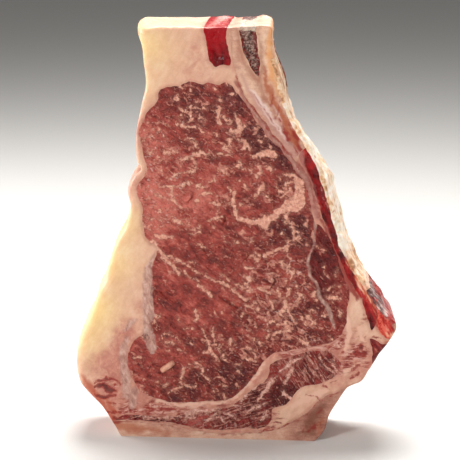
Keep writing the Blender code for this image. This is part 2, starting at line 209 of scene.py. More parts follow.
def lean_in(x, y, z):
    """How far spots of the rib side move in."""
    share = np.clip((x - LEAN_FROM) / (LEAN_TO - LEAN_FROM), 0, 1)
    reach = np.interp(z, [row[0] for row in LEAN], [row[1] for row in LEAN])
    return -reach * share * (y + HALF) / THICKNESS


def skin_relief(x, y, z):
    """The outer skin's bumps: coarse lumps down the rib side, long soft waves elsewhere."""
    spots = np.stack([x, y, z], 1)
    rib_side = fade(x, 20, 30) * fade(z, 58, 70) * (1 - fade(z, 160, 172))
    lumps = bumps(spots, 7.5, 5.0) + 0.5 * bumps(spots, 3.2, 9.0)
    waves = bumps(spots * (1, 0.45, 1), 9.0, 2.0) + 0.3 * bumps(spots, 2.6, 4.0)
    top = fade(z, 196, 201) * fade(x, -9, 0)
    return (lumps * (rib_side * 1.15 + top * 0.8) + waves * (1 - rib_side) * 0.4) * fade(z, 0.2, 3)


def placed(flat, level, face_relief):
    """Where points of the slice lie, in metres: level is -1 on the shown face, 1 on the back."""
    distance, place = measured(flat, SKIN)
    facts, out = along_loop(SKIN, place), along_loop(SKIN_OUT, place)
    corner, swell = facts[:, 2], facts[:, 3]
    turned = np.clip(1 - distance / np.maximum(corner, 0.01), 0, 1)
    y = level * (HALF - corner * (1 - np.sqrt(1 - turned * turned)))
    offset = swell * (1 - (y / HALF) ** 2) * (1 - fade(distance, 0, SWELL_REACH))
    offset += skin_relief(facts[:, 0], y, facts[:, 1]) * fade(turned, 0, 1)
    y = y + np.sign(level) * face_relief * (1 - turned)
    x = flat[:, 0] + out[:, 0] * offset + lean_in(flat[:, 0], y, flat[:, 1])
    z = np.where(flat[:, 1] > 0, np.maximum(flat[:, 1] + out[:, 1] * offset, 0), 0)
    return np.stack([x - MIDDLE_X, y - MIDDLE_Y, z], 1) * MM


def cut_face(own, without):
    """The flat pattern of one tissue: its points and its triangles."""
    low, high = own.min(0) - 1, own.max(0) + 1
    spots, edges = [], []
    for loop in (own, SKIN[:, :2], *without):
        near = ((loop > low) & (loop < high)).all(1)
        for i in np.where(near | np.roll(near, -1))[0].tolist():
            edges.append((len(spots), len(spots) + 1))
            spots += [loop[i].tolist(), loop[(i + 1) % len(loop)].tolist()]
    filling = np.concatenate([LATTICE, RIM_POINTS])
    on_lattice = np.arange(len(filling)) < len(LATTICE)
    for loop in (own, *without, SKIN):
        near = ((filling > low) & (filling < high)).all(1)
        near &= inside(filling, loop) == (loop is own or loop is SKIN)
        filling, on_lattice = filling[near], on_lattice[near]
        distance, place = measured(filling, loop)
        if loop is SKIN:
            corner = along_loop(SKIN[:, 2], place)
            keep = distance > np.where(on_lattice, 0.5 * SPACING + corner, RIM_CLEARANCE)
        else:
            keep = distance > 0.4 * SPACING
        filling, on_lattice = filling[keep], on_lattice[keep]
    points, _, corners = geometry.delaunay_2d_cdt(
        [Vector(spot) for spot in spots + filling.tolist()], edges, [], 0, 1e-4, False)[:3]
    points, corners = np.array([tuple(p) for p in points]), np.array(corners)
    middle = points[corners].mean(1)
    keep = inside(middle, own) & inside(middle, SKIN)
    for loop in without:
        keep &= ~inside(middle, loop)
    used, corners = np.unique(corners[keep], return_inverse=True)
    return points[used], corners.reshape(-1, 3)


def tissue(name, own, without, fields, relief):
    """One tissue as a closed solid through the slice, with its fields kept as attributes.

    Own is its outline, and without lists those that are cut out of it. A field is worked out
    from (points, rim, back), where rim is the distance to the next tissue.
    """
    flat, corners = cut_face(own, without)
    mesh = bpy.data.meshes.new(name)
    mesh.from_pydata([(x, -HALF, z) for x, z in flat.tolist()], [], corners[:, ::-1].tolist())
    piece = bpy.data.objects.new(name, mesh)
    bpy.context.scene.collection.objects.link(piece)
    bpy.ops.object.select_all(action="DESELECT")
    piece.select_set(True)
    bpy.context.view_layer.objects.active = piece
    bpy.ops.object.mode_set(mode="EDIT")
    bpy.ops.mesh.select_mode(type="EDGE")
    bpy.ops.mesh.select_all(action="SELECT")
    bpy.ops.mesh.extrude_region_move(TRANSFORM_OT_translate={"value": (0, THICKNESS, 0)})
    bpy.ops.mesh.select_all(action="DESELECT")
    bpy.ops.object.mode_set(mode="OBJECT")
    spots = vertex_places(mesh)
    on_skin = measured(spots[:, [0, 2]], SKIN)[0] < ON_SKIN
    ends = np.empty(len(mesh.edges) * 2, int)
    mesh.edges.foreach_get("vertices", ends)
    a, b = ends.reshape(-1, 2).T
    through = (abs(spots[a, 1] - spots[b, 1]) > 1) & on_skin[a] & on_skin[b]
    mesh.edges.foreach_set("select", through)
    if through.any():
        bpy.ops.object.mode_set(mode="EDIT")
        bpy.ops.mesh.subdivide(number_cuts=SKIN_ROWS - 1)
        bpy.ops.object.mode_set(mode="OBJECT")

    spots = vertex_places(mesh)
    flat, same = np.unique(spots[:, [0, 2]].round(4), axis=0, return_inverse=True)
    same = same.ravel()
    level = spots[:, 1] / HALF
    rim = np.minimum.reduce([measured(flat, loop)[0] for loop in (own, *without)])
    height = np.zeros(len(spots))
    for side in (-1, 1):
        here = abs(level - side) < 0.01
        rise = 0.22 * bumps(flat, 11, 3 * side) + 0.1 * bumps(flat, 4, 5 * side)
        rise += relief(flat, rim, side > 0) * fade(rim, 0, RELIEF_REACH)
        height[here] = rise[same[here]]
    mesh.vertices.foreach_set("co", placed(spots[:, [0, 2]], level, height).ravel())
    back_share = (level + 1) / 2
    values = {"rim": rim[same]}
    for field, worked_out in fields.items():
        shown, behind = worked_out(flat, rim, False)[same], worked_out(flat, rim, True)[same]
        values[field] = shown * (1 - back_share) + behind * back_share
    for field, numbers in values.items():
        mesh.attributes.new(field, "FLOAT", "POINT").data.foreach_set(
            "value", numbers.astype(np.float32))
    mesh.update()
    bpy.ops.object.shade_smooth_by_angle(angle=SMOOTH_ANGLE)
    return piece


def vertex_places(mesh):
    """A mesh's points as rows of x, y, z."""
    spots = np.empty(len(mesh.vertices) * 3, np.float32)
    mesh.vertices.foreach_get("co", spots)
    return spots.reshape(-1, 3).astype(float)


OUTSIDE = -4.0                       # the depth of all that lies far from a stroke


def brushed(points, strokes):
    """How deep each point lies in brush strokes of (x, z, half width); below 0 is outside."""
    depth = np.full(len(points), OUTSIDE)
    for stroke in strokes:
        stroke = np.array(stroke, float)
        if len(stroke) == 1:
            stroke = np.repeat(stroke, 2, 0) + [(0, 0, 0), (0.1, 0, 0)]
        for a, b in zip(stroke[:-1], stroke[1:]):
            along = b[:2] - a[:2]
            share = np.clip((points - a[:2]) @ along / (along @ along), 0, 1)
            distance = np.linalg.norm(points - a[:2] - share[:, None] * along, axis=1)
            depth = np.maximum(depth, a[2] + (b[2] - a[2]) * share - distance)
    return depth


def dabbed(points, dabs):
    """The sum of soft round dabs of (x, z, radius, strength)."""
    total = np.zeros(len(points))
    for x, z, radius, strength in dabs:
        total += strength * np.exp(-((points - (x, z)) ** 2).sum(1) / radius ** 2)
    return total


def astray(points, back):
    """Where a pattern is looked up: the back face's is like the shown one, but not its copy."""
    if not back:
        return points
    return points + 9 * np.stack([bumps(points, 23, 41.0), bumps(points, 23, 57.0)], 1)


def from_strokes(strokes, unsteady=1.0):
    """A field that says how deep a point lies in brush strokes, drawn with an unsteady hand."""
    def field(points, rim, back):
        points = astray(points, back)
        for size, reach in ((5.0, 1.3 * unsteady), (1.9, 0.6 * unsteady)):
            shake = [bumps(points, size, 33.0), bumps(points, size, 77.0)]
            points = points + reach * np.stack(shake, 1)
        return brushed(points, strokes) + 0.4 * bumps(points, 2.6, 91.0)
    return field


def deepest(*fields):
    """A field that is the deepest of several."""
    return lambda *spot: np.maximum.reduce([field(*spot) for field in fields])


def from_dabs(dabs):
    """A field that sums soft dabs."""
    return lambda points, rim, back: dabbed(astray(points, back), dabs)


def tint(code):
    """A colour from the six-digit code that paint charts use, as linear light."""
    parts = [int(code[i:i + 2], 16) / 255 for i in (0, 2, 4)]
    return (*[p / 12.92 if p <= 0.04045 else ((p + 0.055) / 1.055) ** 2.4 for p in parts], 1)


class Paint:
    """The nodes of one material."""

    def __init__(self, name, roughness, coat, soft):
        self.material = bpy.data.materials.new(name)
        self.material.use_nodes = True
        self.tree = self.material.node_tree
        self.shader = self.tree.nodes["Principled BSDF"]
        self.place = self.add("ShaderNodeTexCoord").outputs["Object"]
        for socket, value in (("Roughness", roughness), ("Coat Weight", coat),
                              ("Coat Roughness", 0.12), ("Specular IOR Level", 0.24),
                              ("Subsurface Weight", soft),
                              ("Subsurface Radius", (1.0, 0.35, 0.2)),
                              ("Subsurface Scale", 0.0022)):
            self.shader.inputs[socket].default_value = value

    def add(self, kind, sockets=None, **settings):
        """One node, with the sockets and settings that differ from its usual ones."""
        node = self.tree.nodes.new(kind)
        for setting, value in settings.items():
            setattr(node, setting, value)
        for socket, value in (sockets or {}).items():
            if isinstance(value, bpy.types.NodeSocket):
                self.tree.links.new(value, node.inputs[socket])
            else:
                node.inputs[socket].default_value = value
        return node

    def field(self, name):
        """A number that the mesh carries."""
        return self.add("ShaderNodeAttribute", attribute_name=name).outputs["Fac"]

    def turned(self, angle, stretch):
        """Places turned in the cut face's plane and drawn out along their own x."""
        turn = self.add("ShaderNodeMapping", {"Vector": self.place,
                                              "Rotation": (0, math.radians(angle), 0)})
        drawn = self.add("ShaderNodeMapping", {"Vector": turn.outputs[0],
                                               "Scale": (1 / stretch, 1, 1)})
        return drawn.outputs[0]

    def noise(self, size, detail=2.0, rough=0.5, bend=0.0, at=None):
        """Cloudy noise round 0.5 whose bumps are so many millimetres across."""
        node = self.add("ShaderNodeTexNoise", {
            "Vector": at or self.place, "Scale": 1000 / size, "Detail": detail,
            "Roughness": rough, "Distortion": bend})
        return node.outputs["Fac"]

    def sum(self, operation, a, b, c=None):
        """One step of arithmetic."""
        sockets = {0: a, 1: b}
        if c is not None:
            sockets[2] = c
        return self.add("ShaderNodeMath", sockets, operation=operation).outputs[0]

    def times(self, value, share):
        """A value times a number or another value."""
        return self.sum("MULTIPLY", value, share)

    def total(self, *parts, plus=0.0):
        """The sum of (value, weight) parts and a number."""
        made = plus
        for value, weight in parts:
            made = self.sum("MULTIPLY_ADD", value, weight, made)
        return made

    def frayed(self, field, clouds, reach):
        """A number that the mesh carries, with its edges frayed by noise."""
        return self.sum("MULTIPLY_ADD", clouds, reach, self.field(field))

    def step(self, value, low, high):
        """A soft step from 0 at low to 1 at high."""
        node = self.add("ShaderNodeMapRange", {"Value": value, "From Min": low, "From Max": high},
                        interpolation_type="SMOOTHSTEP")
        return node.outputs["Result"]

    def mix(self, share, a, b):
        """Colour a, with a share of colour b over it."""
        node = self.add("ShaderNodeMix", {0: share, 6: a, 7: b}, data_type="RGBA")
        return node.outputs[2]

    def cover(self, colour, value, low, high, share, over):
        """A colour with a share of another over it, coming in as a value goes from low to high."""
        over = tint(over) if isinstance(over, str) else over
        return self.mix(self.times(self.step(value, low, high), share), colour, over)

    def ramp(self, value, stops):
        """A colour picked from a row of (place, colour) stops."""
        node = self.add("ShaderNodeValToRGB", {"Fac": value})
        ramp = node.color_ramp
        ramp.elements[0].position, ramp.elements[0].color = stops[0][0], tint(stops[0][1])
        ramp.elements[1].position, ramp.elements[1].color = stops[-1][0], tint(stops[-1][1])
        for position, code in stops[1:-1]:
            ramp.elements.new(position).color = tint(code)
        return node.outputs["Color"]

    def finish(self, colour, height, depth, roughness=None):
        """Colour and relief go to the shader; depth is the relief's, in millimetres."""
        bump = self.add("ShaderNodeBump", {"Height": height, "Distance": depth * MM,
                                           "Strength": 1.0})
        self.tree.links.new(colour, self.shader.inputs["Base Color"])
        for socket in ("Normal", "Coat Normal"):
            self.tree.links.new(bump.outputs["Normal"], self.shader.inputs[socket])
        if roughness is not None:
            self.tree.links.new(roughness, self.shader.inputs["Roughness"])
        return self.material


def dressed(piece, material, slot, *nodes):
    """A finished piece: its material, the solid it stands for and the body it rides on."""
    piece.data.materials.clear()
    piece.data.materials.append(material)
    if nodes:
        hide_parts(*nodes)
    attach(piece, "root")


EYE = [
    (-28, 172), (-19, 174), (-14, 176.4), (-9, 174.8), (-4.6, 175.8), (-1, 174.8), (3, 176),
    (9.7, 169.5), (16.8, 158.5), (25.4, 146.8), (29.7, 143.3), (36.5, 133.7), (40.1, 129),
    (42.8, 121), (45.4, 110), (46.4, 103), (45, 97.5), (43, 92), (43, 85), (47, 76), (51.5, 68),
    (54.5, 59), (56, 51.5),
    (48, 48.5), (36, 46), (26, 43.4), (21, 38.8), (16.6, 32), (10.3, 25), (4, 20), (-10, 19),
    (-24, 17.8), (-30.5, 20), (-36, 21.3), (-42, 28.2), (-45, 34), (-45, 41.5), (-42, 48),
    (-36, 54), (-32.2, 63), (-33.3, 71), (-33.2, 86), (-30, 94.2), (-34.3, 98.4), (-36.8, 104),
    (-37.5, 115), (-40.2, 123), (-35.3, 133), (-36.5, 139), (-37.6, 146), (-38.6, 151.6),
    (-35.8, 159), (-30, 167),
]

# The seams of fat that stand out, as strokes of (x, z, half width).
EYE_SEAMS = [
    [(-19, 163, 0.6), (-17, 161.5, 0.4), (-14.5, 161, 0.5), (-14, 159, 0.5), (-15, 156.5, 0.5)],
    [(-17.5, 154.5, 0.4), (-14, 154, 0.6), (-9.5, 153, 0.3)],
    [(-11.5, 163.5, 0.6), (-9, 163.5, 0.3)],
    [(-0.5, 163.5, 0.7), (-1, 159, 1.1), (0.5, 156, 0.6)],
    [(7, 160.5, 0.6), (9, 157.5, 1.1), (9.5, 153.5, 1.2), (6.5, 152.5, 0.6)],
    [(2.5, 160, 0.7), (4.5, 157.5, 0.6)],
    [(7, 150, 0.4), (9.5, 148, 0.6), (12.5, 146, 0.7), (15.5, 143, 0.3)],
    [(4, 148.5, 0.9), (5, 145, 0.7)],
    [(-1.5, 141.5, 0.5), (1, 141.5, 0.7), (4, 141.5, 0.4)],
    [(-12, 141.5, 0.6), (-9, 142, 1), (-6.5, 141.5, 0.6)],
    [(-19.5, 138, 0.5), (-16, 139.5, 0.6), (-12.5, 140, 0.5), (-12, 137, 0.5), (-12.5, 133, 0.4),
     (-18, 132, 0.3), (-22.5, 130.5, 0.4)],
    [(-5, 128.5, 0.4), (-2, 128.5, 0.4)],
    [(-6.5, 125.5, 0.3), (-10, 124.5, 0.3)],
    [(-28.5, 125, 0.5), (-25, 125.5, 0.5), (-21, 125, 0.4), (-17, 126, 0.7)],
    [(-23.5, 124.5, 0.4), (-23, 120, 0.4)],
    [(14.5, 141, 0.3), (19.5, 141.5, 1.1), (23, 142, 1.7), (26.5, 141, 1.2)],
    [(24, 142.5, 0.7), (24, 145.5, 0.3)],
    [(2, 134.5, 0.2), (8.5, 135, 0.2), (13.5, 134.5, 0.3)],
    [(19.5, 135, 0.6), (20, 132.5, 0.8), (16.5, 131.5, 0.5)],
    [(21, 126.5, 0.8), (19, 123, 1), (16.5, 120.5, 0.6)],
    [(32, 131.5, 0.6), (35.5, 131.5, 0.9), (37.5, 129, 1.2), (38.5, 124.5, 2), (38, 120, 3.3),
     (36, 116.5, 3.4), (31.5, 116, 2)],
    [(33.5, 125, 0.6), (30.5, 121.5, 0.7)],
    [(-10, 121.5, 0.5), (-7, 122, 0.7), (-4.5, 121.5, 0.6)],
    [(-1.5, 116.5, 0.4), (2.5, 118, 0.5), (5.5, 118.5, 0.5)],
    [(6, 122, 0.7), (6.5, 117.5, 0.8), (7.5, 113.5, 0.9), (9.5, 110, 1.2), (12.5, 108.5, 0.8),
     (17, 108.3, 1.0), (21.5, 108, 3.0), (26, 111.5, 1.5), (29.5, 114.5, 1.9), (32.5, 117, 2.6)],
    [(32, 112, 0.8), (34, 108, 0.7), (35.5, 104.5, 0.6), (36.5, 101.5, 0.6), (35, 99.5, 0.5),
     (32, 99.5, 0.5)],
    [(30, 102.5, 0.8), (30.5, 102, 0.4)],
    [(22, 91.5, 1), (24.5, 93, 0.7), (28.5, 95.5, 0.7), (32, 97, 0.7)],
    [(31, 96.5, 0.6), (32.5, 93, 0.4), (34, 90.5, 0.4)],
    [(29, 89, 0.6), (32, 86.5, 0.5), (34.5, 83.5, 0.5), (34, 81, 0.5)],
    [(12, 82, 0.6), (15, 80, 0.7)],
    [(12, 86, 0.5), (16, 85.5, 0.5)],
    [(-15.5, 102.5, 0.3), (-12, 102, 0.4), (-9.5, 104, 0.5), (-10, 106, 0.4)],
    [(-22.5, 118.5, 0.6), (-19.5, 115.5, 0.7)],
    [(-5.5, 108.5, 0.5), (-2, 109.5, 0.7), (0.5, 111, 0.4)],
    [(-31.5, 101, 0.8), (-27.5, 100.5, 1), (-23, 100.5, 0.8)],
    [(-33, 98, 1.1), (-29.5, 93.5, 1.2), (-27.5, 91, 1.1), (-23.5, 87.5, 0.6), (-20, 82.5, 0.5)],
    [(-24.5, 91, 0.5), (-18.5, 88, 0.4), (-12, 84.5, 0.4), (-6.5, 81, 0.4), (1, 78, 0.4),
     (9, 73, 0.5), (14.5, 70.5, 0.4)],
    [(-20, 85, 0.4), (-16, 82, 0.4), (-10, 78.5, 0.4)],
    [(-10, 76.5, 0.5), (-7, 74, 0.9), (-4.5, 71.5, 0.8)],
    [(0, 83, 0.3), (3.5, 79.5, 0.4), (9.5, 77, 0.4), (14.5, 74.5, 0.4)],
    [(6.5, 74.5, 0.6), (9.5, 72.5, 0.9), (12.5, 70.5, 0.6)],
    [(20, 75.5, 0.5), (24.5, 73.5, 0.5)],
    [(28, 75.5, 0.8), (29, 72, 0.7)],
    [(33.5, 75, 0.8), (32, 71, 0.8), (32, 68, 0.9), (30, 64, 0.7)],
    [(32, 68, 0.6), (34, 63, 0.6), (37, 59.5, 0.6)],
    [(-12, 64, 0.5), (-11, 61.5, 0.6), (-11.5, 58.5, 0.4)],
    [(-21, 61.5, 0.3), (-20, 57, 0.4)],
    [(-17, 55.5, 0.4), (-13, 55, 0.4)],
    [(13, 67.5, 0.4), (18.5, 65, 0.4)],
    [(-8, 55.5, 0.6), (-6, 50, 0.5), (-5, 45, 0.9), (-3, 41.5, 0.7), (-1, 39, 0.4)],
    [(-7.5, 44, 0.9), (-5, 44.5, 1)],
    [(-3.5, 55, 0.3), (-2.5, 49, 0.4), (0, 44.5, 0.3), (3, 40.5, 0.3)],
    [(13, 46.5, 0.7), (15.5, 45, 0.6), (17.5, 42, 0.4)],
    [(-10, 37, 0.4), (-7.5, 32.5, 0.6), (-5, 29.5, 0.6)],
    [(-17.5, 34.5, 0.7), (-19, 29, 0.8)],
    [(-25, 23, 0.4), (-20, 25.5, 0.5), (-16, 26, 0.4), (-12.5, 26, 0.4)],
    [(-27.5, 25.5, 0.7), (-26, 27, 0.5)],
    [(7.5, 37, 0.4), (10, 38, 0.5)],
    [(22.5, 52, 0.6), (27, 54, 0.8), (33.5, 55, 0.6)],
    [(38, 51.5, 0.5), (42, 48.5, 0.6), (45.5, 47, 0.5)],
    [(38.5, 72.5, 0.5), (37.5, 69, 0.6)],
    [(39.5, 62, 0.5), (41.5, 58, 0.5)],
    [(24.5, 69, 0.5), (25.5, 65.5, 0.5)],
]

# Short thick flecks, lying mostly down to the right, and where they lie thicker (above 0) or
# thinner: x, z, radius, strength.
DASH_CROWDS = [(-34, 140, 12, 0.7), (-28, 112, 14, 0.4), (4, 156, 18, 0.5), (28, 80, 20, 1.0),
               (20, 126, 16, 0.5), (30, 56, 18, 0.8), (-14, 66, 18, -1.0), (-24, 88, 10, -0.6),
               (-28, 34, 12, -0.5)]
DASH_TRIES = 620
rng = np.random.default_rng(12)
EYE_DASHES = []
for x, z in rng.uniform((-42, 20), (56, 176), (DASH_TRIES, 2)).tolist():
    length, lean_way = rng.uniform(0.8, 3.6), math.radians(rng.normal(-32, 30))
    width, bow, chance = rng.uniform(0.2, 0.8), rng.normal(0, 0.5), rng.uniform()
    if chance < 0.38 + 0.3 * dabbed(np.array([[x, z]]), DASH_CROWDS)[0]:
        dx, dz = length / 2 * math.cos(lean_way), length / 2 * math.sin(lean_way)
        EYE_DASHES.append([(x - dx, z - dz, width * 0.5), (x - bow * dz, z + bow * dx, width),
                           (x + dx, z + dz, width * 0.6)])

# The silvery sheet between the eye and the shell muscle, seen edge on.
SILVER_LINE = [[(45.5, 117, 1.3), (46, 109.5, 1.2), (45.5, 102, 0.9), (45, 97.5, 0.8),
                (43.5, 93.5, 0.9), (42.5, 89, 1.1), (43.5, 83.5, 1.2), (46.5, 79, 1.1),
                (48, 73, 1.3), (51.5, 68, 1.5), (54, 62, 1.5), (55.5, 57, 1.1)]]

# Silverskin down the eye's left edge, half on the fat and half on the lean.
SILVER_FILM = [[(-31.5, 91.5, 0.8), (-34.6, 85, 2.3), (-35.2, 76, 2.7), (-35.2, 69, 2.8),
                (-34.7, 62, 3.4), (-35.8, 57, 2.3)],
               [(-35.8, 57, 2.3), (-34.5, 50.5, 3.2), (-33.3, 45.5, 2.7), (-33.2, 43, 1.6)]]
FILM_TONES = [(0.35, "9c6c62"), (0.5, "b88c7e"), (0.66, "d0ac9e")]

# Clefts where the bundles part: (x, z, half width).
EYE_CLEFTS = [
    [(2, 111.5, 0.3), (3, 109, 0.6), (1.5, 107, 0.3)],
    [(-15.5, 117, 0.2), (-13, 120, 0.5), (-12.5, 122, 0.2)],
    [(26, 82, 0.2), (27, 79, 0.6), (24.5, 75.5, 0.3)],
    [(-32, 74, 0.2), (-27, 71, 0.35), (-22, 68, 0.2)],
    [(0, 71, 0.2), (8, 66, 0.4), (14, 62, 0.2)],
    [(11, 88, 0.3), (14, 92, 0.5)],
]

# Brighter (above 0) and darker dabs of the lean: x, z, radius, strength.
EYE_TONES = [
    (-36, 150, 12, 0.5), (-32, 118, 14, 0.55), (-18, 118, 16, 0.5), (-2, 129, 8, 0.35),
    (-33, 100, 9, 0.5), (24, 150, 14, -0.5), (34, 136, 9, -0.5), (38, 106, 9, -0.6),
    (25, 104, 10, -0.4), (10, 168, 12, -0.45), (-16, 163, 14, -0.25), (-16, 66, 20, 0.1),
    (-30, 32, 16, 0.1), (48, 52, 8, -0.4), (-8, 26, 14, -0.4), (8, 34, 14, -0.3),
    (20, 58, 16, -0.15), (36, 60, 14, -0.25), (-26, 80, 10, 0.15), (40, 88, 8, -0.3),
    (-9, 161, 8, -0.25), (14, 148, 7, -0.3), (-9, 92, 10, -0.2), (39, 105, 7, -0.25),
    (-29, 159, 8, 0.15), (38, 68, 9, -0.1),
]

# Where the fine flecks of fat lie thicker (above 0) or thinner: x, z, radius, strength.
EYE_FLECKS = [
    (-34, 138, 12, 1.1), (-28, 112, 14, 0.6), (4, 158, 16, 0.3), (28, 80, 18, 0.55),
    (20, 126, 16, 0.3), (30, 56, 18, 0.5), (-14, 68, 18, -0.7), (-24, 90, 10, -0.3),
    (-10, 100, 14, -0.2), (-8, 140, 12, 0.1), (6, 50, 12, 0.2), (34, 142, 8, -0.5),
    (44, 52, 8, 0.6),
]


def lean_relief(clefts=()):
    """The cut face of lean: sunk below the fat, grainy, and open where bundles part."""
    def relief(points, rim, back):
        seed = 31.0 if back else 7.0
        bundles = 0.26 * bumps(points * (1, 1.5), 2.9, seed) + 0.12 * bumps(points, 1.5, seed)
        cleft = fade(brushed(astray(points, back), clefts), -0.45, 0.35) if clefts else 0
        return bundles - 0.3 * fade(rim, 0, 3) - 1.1 * cleft
    return relief


def lean_material(name, tones, seam_tones, angle=-28, flecks=1.0, stripes=0.0):
    """Moist lean: grain and tone, flecks and seams of fat, painted glints, and small pits that
    are darkened with painted shade.
    """
    paint = Paint(name, 0.35, 0.0, 0.1)
    along = paint.turned(angle, 1.7)
    fibre = paint.noise(1.0, 3, 0.6, 0.5, paint.turned(angle - 8, 5))
    broad = paint.noise(11, 3, 0.6, 0.5)
    grain = paint.noise(3.0, 4, 0.6, 0.6, along)
    fine = paint.noise(0.9, 3, 0.6)
    shade = paint.total((broad, 0.5), (grain, 0.75), (fine, 0.15), (fibre, 0.32),
                        (paint.field("tone"), 0.3), plus=-0.33)
    if stripes:
        fan = paint.noise(0.9, 2, 0.6, 0.4, paint.turned(angle, 7))
        flow = paint.noise(1.3, 3, 0.6, 1.0, paint.turned(18, 6))
        streak = paint.add("ShaderNodeMix", {0: paint.field("flow"), 2: fan, 3: flow}).outputs[0]
        shade = paint.total((shade, 1), (streak, -0.5), plus=0.25)
    lean = paint.ramp(shade, tones)

    # Fat: blots, thin curling worms and dots, thicker where the fleck field says so.
    edge = paint.noise(1.7, 4, 0.7, 0.8)
    seam = paint.frayed("seam", edge, 4.4)
    patch = paint.total((paint.noise(6.5, 2), 0.16), (paint.field("fleck"), 0.09), plus=-0.08)
    blot = paint.sum("ADD", paint.noise(3.4, 3, 0.55, 0.9, along), patch)
    line = paint.sum("SUBTRACT", paint.noise(3.3, 3, 0.55, 1.6, along), 0.5)
    worm = paint.times(paint.step(paint.sum("ABSOLUTE", line, 0), 0.03, 0.01),
                       paint.step(paint.sum("ADD", paint.noise(3.8, 2), patch), 0.47, 0.55))
    dot = paint.sum("ADD", paint.noise(1.15, 2, 0.55, 0.4, along), patch)
    fleck = paint.sum("MAXIMUM", paint.times(paint.step(blot, 0.6, 0.65), 0.8),
                      paint.times(worm, 0.25))
    fleck = paint.sum("MAXIMUM", fleck, paint.times(paint.step(dot, 0.6, 0.65), 0.55))
    fleck = paint.times(fleck, flecks)
    if stripes:
        streak = paint.step(paint.sum("ADD", streak, patch), 0.53, 0.6)
        fleck = paint.sum("MAXIMUM", fleck, paint.times(streak, stripes))
    core = paint.step(seam, 1.85, 2.4)
    fat_share = paint.sum("MAXIMUM", core, fleck)
    tone = paint.total((paint.noise(1.6, 4, 0.7, 0.4), 1.2), (core, 0.14), plus=-0.14)
    seam_fat = paint.ramp(tone, seam_tones)

    # Small pits, sunk in the relief, with painted shade: their colour darkens towards the darkest
    # lean.
    shaded_pit = paint.step(paint.noise(2.0, 3, 0.6, 0.8), 0.62, 0.74)
    lean = paint.mix(paint.times(shaded_pit, 0.35), lean, tint(tones[0][1]))
    lean = paint.cover(lean, seam, 0.5, 2.2, 0.2, seam_fat)
    colour = paint.mix(fat_share, lean, seam_fat)
    # Painted highlight: rare pale spots over the lean that stand in for wet glints.
    painted_glint = paint.sum("ADD", paint.noise(1.2, 1, 0.5, 0.5, along), patch)
    colour = paint.cover(colour, painted_glint, 0.69, 0.8, 0.45, "e6c8be")
    film = paint.ramp(paint.noise(1.8, 3, 0.6, 0.5, paint.turned(-75, 2)), FILM_TONES)
    colour = paint.cover(colour, paint.frayed("silver", edge, 1.2), 0.6, 1.5, 0.85, film)
    height = paint.total((fat_share, 0.3), (grain, 1), (fine, 0.4), (fibre, 0.35), (shaded_pit, -0.5))
    wet = paint.step(paint.noise(2.5, 3), 0.42, 0.58)
    return paint.finish(colour, height, 1.15, paint.total((wet, -0.38), plus=0.5))


PALE_SEAM = [(0.25, "984c44"), (0.4, "bc7465"), (0.55, "d89680"), (0.75, "ecb69e")]
eye_border = border(EYE)
eye_lean = tissue("eye_lean", eye_border, [], {
    "seam": from_strokes(EYE_SEAMS + EYE_DASHES), "tone": from_dabs(EYE_TONES),
    "fleck": from_dabs(EYE_FLECKS),
    "silver": from_strokes(SILVER_LINE + SILVER_FILM, 0.4)}, lean_relief(EYE_CLEFTS))
eye_paint = lean_material("eye_lean", [(0.3, "52191a"), (0.45, "772a24"), (0.6, "9e4037"),
                                       (0.8, "cc6e60")], PALE_SEAM)
dressed(eye_lean, eye_paint, "lean", "eye_muscle")


# ---------------------------------------------------------------------------------------------
# The shell muscle. A thin dark muscle that lies against the eye's right side under a sheet of
# silvery tissue, with short worms of grey fat across it.
# ---------------------------------------------------------------------------------------------
SHELL = [
    (46.6, 108), (48.5, 107), (52, 102.4), (56.4, 93), (59.6, 82.4), (62.8, 74.5), (61.3, 68),
    (61.3, 62), (60, 55.6), (56.5, 52), (50, 52), (46, 66), (40, 85), (43, 100),
]
SHELL_SEAMS = [
    [(50, 88, 0.1), (50, 86, 0.2), (53, 82, 0.3)],
    [(56.5, 86, 0.4), (56, 82.5, 0.4)], [(52.5, 76.5, 0.4), (55.5, 78, 0.4), (58, 77.5, 0.4)],
    [(52, 72.5, 0.6), (55, 71.5, 0.8), (58.5, 71.5, 0.5)],
    [(57.5, 66.5, 0.4), (59, 63, 0.5)], [(45, 97.5, 0.3), (50.5, 95, 0.3)],
]
SHELL_TONES = [(58, 72, 7, 0.3), (51, 91, 9, -0.5), (50, 76, 6, -0.2)]

shell_border = border(SHELL)
shell_lean = tissue("shell_lean", shell_border, [eye_border], {
    "seam": from_strokes(SHELL_SEAMS), "tone": from_dabs(SHELL_TONES),
    "fleck": from_dabs([(55, 70, 12, 0.1), (51, 92, 12, -1.4)]),
    "silver": from_strokes(SILVER_LINE, 0.4)}, lean_relief())
shell_paint = lean_material("shell_lean", [(0.3, "46100f"), (0.45, "661a18"), (0.6, "802822"),
                                           (0.8, "a84c42")], PALE_SEAM, -50, 0.9)
dressed(shell_lean, shell_paint, "lean", "shell_muscle")


